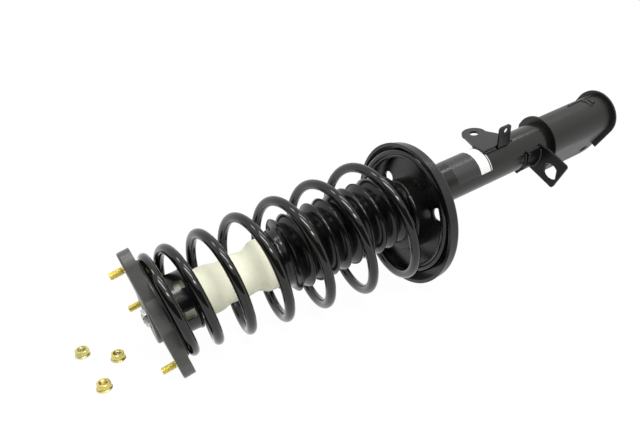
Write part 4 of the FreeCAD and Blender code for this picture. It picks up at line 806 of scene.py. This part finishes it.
# Threads and nuts
class STRUT_OT_threads(bpy.types.Operator):
    """Cuts the threads of the studs and of the rod"""
    bl_idname = "strut.threads"
    bl_label = "Cut threads"

    def execute(self, context):
        sizes = context.scene.strut_sizes
        shell = Shell()
        for index in range(3):
            angle = math.radians(STUD_TURN + 120 * index)
            spot = Matrix.Translation(off_axis(0, STUD_CIRCLE, angle))
            one = threaded(Shell(), -15.3, -1.0, 4.0, sizes.stud_pitch, 0.8)
            turned(one, softened([(-1.3, 0.5, 0), (-1.3, 3.7, 0.2), (0.05, 3.7, 0.1), (0.05, 4.3, 0.1),
                                  (3.0, 4.3, 0), (3.0, 6.5, 0.3), (6.0, 6.5, 0.7), (6.0, 0.5, 0)], 0.2), 48)
            one.cap(circle_row(6.0, 0.6, 48))
            shell.take(one, spot)
        # The studs take the brighter zinc copy, which is painted light on them.
        item = piece("mount_studs_threaded", shell.points, shell.faces, PLATE, "yellow_zinc", 28, "stud_zinc_painted_light")
        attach(item, "rod_and_mount")
        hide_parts("mount_studs")

        rod = threaded(Shell(), -7.5, 5.0, 6.0, sizes.rod_pitch, 0.9, steps=60)
        turned(rod, softened([(4.8, 0.5, 0), (4.8, 5.3, 0), (5.4, 5.95, 0.3), (25.6, 5.95, 0.3),
                              (25.6, 10.0, 0.5), (384.2, 10.0, 0.3), (384.2, 6.0, 0), (411.0, 6.0, 0.8),
                              (411.0, 0.5, 0)], 0.3), 96)
        rod.cap(circle_row(411.0, 0.6, 96))
        item = piece("piston_rod_plated", rod.points, rod.faces, STRUT, "hard_chrome", 28)
        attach(item, "rod_and_mount")
        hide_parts("piston_rod")
        return {"FINISHED"}


def hex_nut(shell, across, height, bore, pitch, face, corner, flange=None):
    """A nut standing on the z = 0 plane of its frame: chamfers curve round the corners."""
    steps = 96
    tan30 = math.tan(math.radians(30))
    angles = [2 * math.pi * j / steps for j in range(steps)]
    outer = [hex_radius(angle, across, corner) for angle in angles]

    def ring(radius, z):
        values = radius if isinstance(radius, list) else [radius] * steps
        heights = z if isinstance(z, list) else [z] * steps
        return [(r * math.cos(a), r * math.sin(a), h) for r, a, h in zip(values, angles, heights)]

    bevel = [max(0.0, (radius - face) * tan30) for radius in outer]
    rows = [ring(bore + 0.7, 0.0)]
    if flange:
        rim, thick, slope = flange
        rows += [ring(rim - 1.6, 0.0), ring(rim - 0.4, 0.25), ring(rim - 0.05, 0.55), ring(rim, 0.9),
                 ring(rim - 0.1, thick - 0.3), ring(rim - 0.45, thick)]
        foot = [thick + max(0.0, rim - 0.45 - radius) * slope for radius in outer]
        rows += [ring([radius + 0.25 for radius in outer], [z - 0.12 for z in foot]),
                 ring(outer, [z + 0.35 for z in foot])]
    else:
        rows += [ring(face, 0.0), ring([r - 0.12 for r in outer], [max(0.0, b - 0.1) for b in bevel]),
                 ring(outer, [b + 0.25 for b in bevel])]
    rows += [ring(outer, [height - b - 0.25 for b in bevel]),
             ring([r - 0.12 for r in outer], [height - max(0.0, b - 0.1) for b in bevel]),
             ring(face, height), ring(bore + 0.7, height)]
    shell.rows(rows)
    inner = threaded(Shell(), 0.0, height, bore, pitch, 0.7, inside=True)
    stand = Matrix(((0, 0, 1, 0), (0, 1, 0, 0), (1, 0, 0, 0), (0, 0, 0, 1)))
    return shell.take(inner, stand)


class STRUT_OT_nuts(bpy.types.Operator):
    """Forms the rod nut and the three loose flange nuts"""
    bl_idname = "strut.nuts"
    bl_label = "Form nuts"

    def execute(self, context):
        sizes = context.scene.strut_sizes
        nut = hex_nut(Shell(), 18.0, 10.0, 6.0, sizes.rod_pitch, 8.6, 10.1)
        lie = Matrix(((0, 0, 1, -6.0), (0, 1, 0, 0), (-1, 0, 0, 0), (0, 0, 0, 1)))
        item = piece("rod_nut_formed", moved(nut.points, lie), nut.faces, STRUT, "silver_zinc", 24)
        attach(item, "rod_and_mount")
        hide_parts("rod_nut")

        shell = Shell()
        for x, y, turn in LOOSE_NUTS.values():
            one = hex_nut(Shell(), 13.0, 8.0, 4.0, sizes.stud_pitch, 6.2, 7.28, (8.1, 1.8, 0.75))
            lay = Matrix.Translation((x, y, FLOOR)) @ Matrix.Rotation(math.radians(turn), 4, "Z")
            shell.take(one, lay)
        item = piece("loose_flange_nuts_formed", shell.points, shell.faces, MM, "yellow_zinc", 24)
        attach(item, "floor_nuts")
        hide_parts("loose_flange_nuts")
        return {"FINISHED"}


# Welds
def bead(shell, path, outward, width):
    """A rippled weld along a path; outward gives the direction it bulges to at each point."""
    length, radii = 0.0, []
    for i, point in enumerate(path):
        length += (point - path[i - 1]).length if i else 0.0
        ripple = abs(math.sin(math.pi * length / 1.7))
        ends = min(1.0, 0.55 + min(i, len(path) - 1 - i) * 0.15)
        radii.append(width / 2 * ends * (0.88 + 0.12 * ripple + 0.05 * math.sin(length * 0.9)))
    rows = follow(path, radii, 14, outward)
    shell.rows(rows).cap(rows[0]).cap(rows[-1])
    return shell


def round_tube(along, radius, first, last):
    """Path round the tube between two angles, and its outward directions."""
    count = max(int(abs(last - first) * radius * math.pi / 180 / 0.4), 8)
    path, outward = [], []
    for i in range(count + 1):
        angle = math.radians(first + (last - first) * i / count)
        path.append(Vector(off_axis(along, radius, angle)))
        outward.append(Vector(off_axis(0, 1, angle)))
    return path, outward


def round_seat():
    """Path round the tube where the lower seat stands on it, and its outward directions."""
    path, outward = [], []
    for degree in range(361):
        angle = math.radians(degree)
        spot = Vector(off_axis(0, TUBE + 0.4, angle))
        spot.x = on_plane(spot, PAN, SEAT_FOOT)
        path.append(spot)
        outward.append(Vector(off_axis(0, 1, angle)))
    return path, outward


def along_tube(start, end, y, z):
    """Straight path along the tube at a place beside its axis."""
    count = max(int(abs(end - start) / 0.4), 8)
    path = [Vector((start + (end - start) * i / count, y, z)) for i in range(count + 1)]
    return path, [Vector((0, y, z)).normalized()] * len(path)


class STRUT_OT_welds(bpy.types.Operator):
    """Lays the weld beads that hold seat and brackets to the tube"""
    bl_idname = "strut.welds"
    bl_label = "Lay welds"

    def execute(self, context):
        width = context.scene.strut_sizes.weld
        shell = bead(Shell(), *round_seat(), width)
        for along, lift, first, last, share in ROUND_SEAMS:
            bead(shell, *round_tube(along, TUBE + lift, first, last), width * share)
        for start, end, y, z, share in STRAIGHT_SEAMS:
            bead(shell, *along_tube(start, end, y, z), width * share)
        item = piece("weld_beads", shell.points, shell.faces, STRUT, "black_coating", 60, "weld")
        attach(item, "damper_tube")
        return {"FINISHED"}


class STRUT_OT_label(bpy.types.Operator):
    """Wraps the blank label round the tube"""
    bl_idname = "strut.label"
    bl_label = "Wrap label"

    def execute(self, context):
        start, end, first, last = 394.0, 450.0, -62.0, 72.0
        count, steps = 56, 72
        angles = [math.radians(first + (last - first) * j / steps) for j in range(steps + 1)]
        outer, inner = [], []
        for i in range(count + 1):
            along = start + (end - start) * i / count
            thick = 0.12 if 0 < i < count else 0.05
            outer.append([off_axis(along, TUBE + thick, angle) for angle in angles])
            inner.append([off_axis(along, TUBE - 0.1, angle) for angle in angles])
        shell = Shell().rows(outer, closed=False).rows(inner, closed=False)
        shell.rows([outer[0], inner[0]], closed=False).rows([outer[-1], inner[-1]], closed=False)
        for side in (0, -1):
            shell.rows([[row[side] for row in outer], [row[side] for row in inner]], closed=False)
        item = piece("blank_label", shell.points, shell.faces, STRUT, "tube_paint", 40, "label")
        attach(item, "damper_tube")
        return {"FINISHED"}


class STRUT_OT_finishes(bpy.types.Operator):
    """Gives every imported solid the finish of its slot"""
    bl_idname = "strut.finishes"
    bl_label = "Apply finishes"

    def execute(self, context):
        prepare_finishes(context.scene.strut_colours)
        for part in frame["record"]["subparts"]:
            node = frame["nodes"][part["node"]]
            finish = FINISH[OWN_FINISH.get(part["node"], part["material_slot"])]
            if not node.material_slots:
                node.data.materials.append(finish)
            for place in node.material_slots:
                place.material = finish
        return {"FINISHED"}


# Stage: lamps by name, turn and rise in degrees, distance and size in metres, power in watts
LAMPS = (("overhead", 8, 74, 1.5, (1.0, 0.12), 4.0),
         ("top", -115, 70, 1.3, (0.95, 0.2), 8.5),
         ("front", -85, 52, 1.4, (0.6, 0.16), 5.0),
         ("back", 155, 58, 1.4, (0.25, 0.3), 2.0))


class STRUT_OT_stage(bpy.types.Operator):
    """Sets the white floor, the soft lights and the camera"""
    bl_idname = "strut.stage"
    bl_label = "Set stage"

    def execute(self, context):
        scene = context.scene
        scene.view_settings.view_transform = "Standard"
        self.floor(scene)
        self.surround(scene)
        self.lamps(scene)
        # A sheet that paints dark reflections into the black gloss.
        self.curtain(scene)
        self.camera(scene)
        return {"FINISHED"}

    def sheet(self, scene, name, points, faces, material):
        """A plain mesh object of the stage."""
        mesh = bpy.data.meshes.new(name)
        mesh.from_pydata(points, [], faces)
        mesh.materials.append(material)
        item = bpy.data.objects.new(name, mesh)
        scene.collection.objects.link(item)
        return item

    def floor(self, scene):
        """White floor that keeps the strut's shadow faint and that reflections see as white."""
        half, z = 6.0, FLOOR * 0.001 - 0.0001
        skin = Finish("white_floor")
        base = skin.blend(skin.noise(skin.place(), 300.0, 2.0), (0.86, 0.86, 0.855), (0.89, 0.89, 0.885))
        matte = skin.add("ShaderNodeBsdfDiffuse", {}, {"Color": base})
        glow = skin.add("ShaderNodeEmission", {}, {"Color": (1, 1, 1, 1), "Strength": 1.02})
        seen = skin.rays("Is Camera Ray", "Is Glossy Ray") * 0.95
        skin.close(skin.add("ShaderNodeMixShader", {}, {0: seen, 1: matte, 2: glow}))
        floor = self.sheet(scene, "floor", [(-half, -half, z), (half, -half, z), (half, half, z),
                                            (-half, half, z)], [(0, 1, 2, 3)], skin.material)

    def surround(self, scene):
        """Plain light from all round, which is seen as white."""
        world = bpy.data.worlds.new("studio")
        scene.world = world
        sky = Nodes(world, "ShaderNodeOutputWorld")
        plain, bright = (sky.add("ShaderNodeBackground", {}, {"Color": (1, 1, 1, 1), "Strength": strength})
                         for strength in (0.68, 1.0))
        seen = sky.rays("Is Camera Ray", "Is Glossy Ray", "Is Transmission Ray")
        sky.close(sky.add("ShaderNodeMixShader", {}, {0: seen, 1: plain, 2: bright}))

    def lamps(self, scene):
        """Four soft panels; the one overhead lies along the strut."""
        target = Vector((0.3, 0, 0.05))
        for name, turn, rise, far, size, power in LAMPS:
            turn, rise = math.radians(turn), math.radians(rise)
            away = Vector((math.cos(rise) * math.cos(turn), math.cos(rise) * math.sin(turn), math.sin(rise)))
            if name == "overhead":
                up = away.cross(Vector((1, 0, 0))).normalized()
                across = up.cross(away)
            else:
                across = Vector((0, 0, 1)).cross(away).normalized()
                up = away.cross(across)
            lamp = bpy.data.lights.new(name, "AREA")
            lamp.shape = "RECTANGLE"
            lamp.size, lamp.size_y = size
            lamp.energy = power
            item = bpy.data.objects.new(name, lamp)
            place = Matrix((across, up, away)).transposed().to_4x4()
            place.translation = target + away * far
            item.matrix_world = place
            scene.collection.objects.link(item)

    def curtain(self, scene):
        """Dark sheet round the camera's side that only glossy reflections see: painted dark reflections in
        the black gloss, hidden from the camera, from diffuse light and from shadows.
        """
        first, sweep, folds, foot = 178, 125, 40, -0.03
        rows = []
        for height in (0.0, 0.5, 1.0, 1.5):
            row = []
            for step in range(folds + 1):
                angle = math.radians(first + sweep * step / folds)
                reach = 2.1 + 0.03 * math.sin(step * 1.3)
                row.append((0.3 + reach * math.cos(angle), reach * math.sin(angle), height + foot))
            rows.append(row)
        shell = Shell().rows(rows, closed=False)
        skin = Finish("dark_cloth")
        # The sheet's dark tone is what the gloss mirrors: a painted dark reflection.
        sheet_tone = skin.blend(skin.noise(skin.place(), 4.0, 2.0), (0.03, 0.03, 0.03), (0.045, 0.045, 0.045))
        dark_sheet = self.sheet(scene, "curtain", shell.points, shell.faces, skin.coat(sheet_tone, 0.9, specular=0.1))
        # Hidden from camera, diffuse and shadow rays, so the sheet only paints dark reflections.
        dark_sheet.visible_camera = False
        dark_sheet.visible_diffuse = False
        dark_sheet.visible_shadow = False

    def camera(self, scene):
        """Camera that shows the strut as it was photographed."""
        right = Vector((0.874153, -0.485101, -0.023089))
        down = Vector((-0.2139, -0.341895, -0.915071))
        ahead = Vector((0.436008, 0.804851, -0.402632))
        lens = bpy.data.cameras.new("camera")
        lens.sensor_width = 36.0
        lens.lens = 34.382
        item = bpy.data.objects.new("camera", lens)
        place = Matrix((right, -down, -ahead)).transposed().to_4x4()
        place.translation = Vector((-0.09817, -0.56443, 0.34664))
        item.matrix_world = place
        scene.collection.objects.link(item)
        scene.camera = item


PIECES = (STRUT_OT_finishes, STRUT_OT_spring, STRUT_OT_boot, STRUT_OT_bump_stop, STRUT_OT_rubbers,
          STRUT_OT_threads, STRUT_OT_nuts, STRUT_OT_welds, STRUT_OT_label, STRUT_OT_stage)


class STRUT_PT_panel(bpy.types.Panel):
    """Lists the strut's steps and what can be changed"""
    bl_idname = "STRUT_PT_panel"
    bl_label = "Strut"
    bl_space_type = "VIEW_3D"
    bl_region_type = "UI"
    bl_category = "Strut"

    def draw(self, context):
        for group in (context.scene.strut_sizes, context.scene.strut_colours):
            box = self.layout.box()
            for name in group.__annotations__:
                box.prop(group, name)
        for step in PIECES:
            self.layout.operator(step.bl_idname)


CLASSES = (StrutSizes, StrutColours) + PIECES + (STRUT_PT_panel,)


def register():
    for item in CLASSES:
        bpy.utils.register_class(item)
    bpy.types.Scene.strut_sizes = bpy.props.PointerProperty(type=StrutSizes)
    bpy.types.Scene.strut_colours = bpy.props.PointerProperty(type=StrutColours)


def unregister():
    del bpy.types.Scene.strut_colours
    del bpy.types.Scene.strut_sizes
    for item in reversed(CLASSES):
        bpy.utils.unregister_class(item)


def main():
    register()
    for step in PIECES:
        group, name = step.bl_idname.split(".")
        getattr(getattr(bpy.ops, group), name)()


if __name__ == "__main__":
    main()
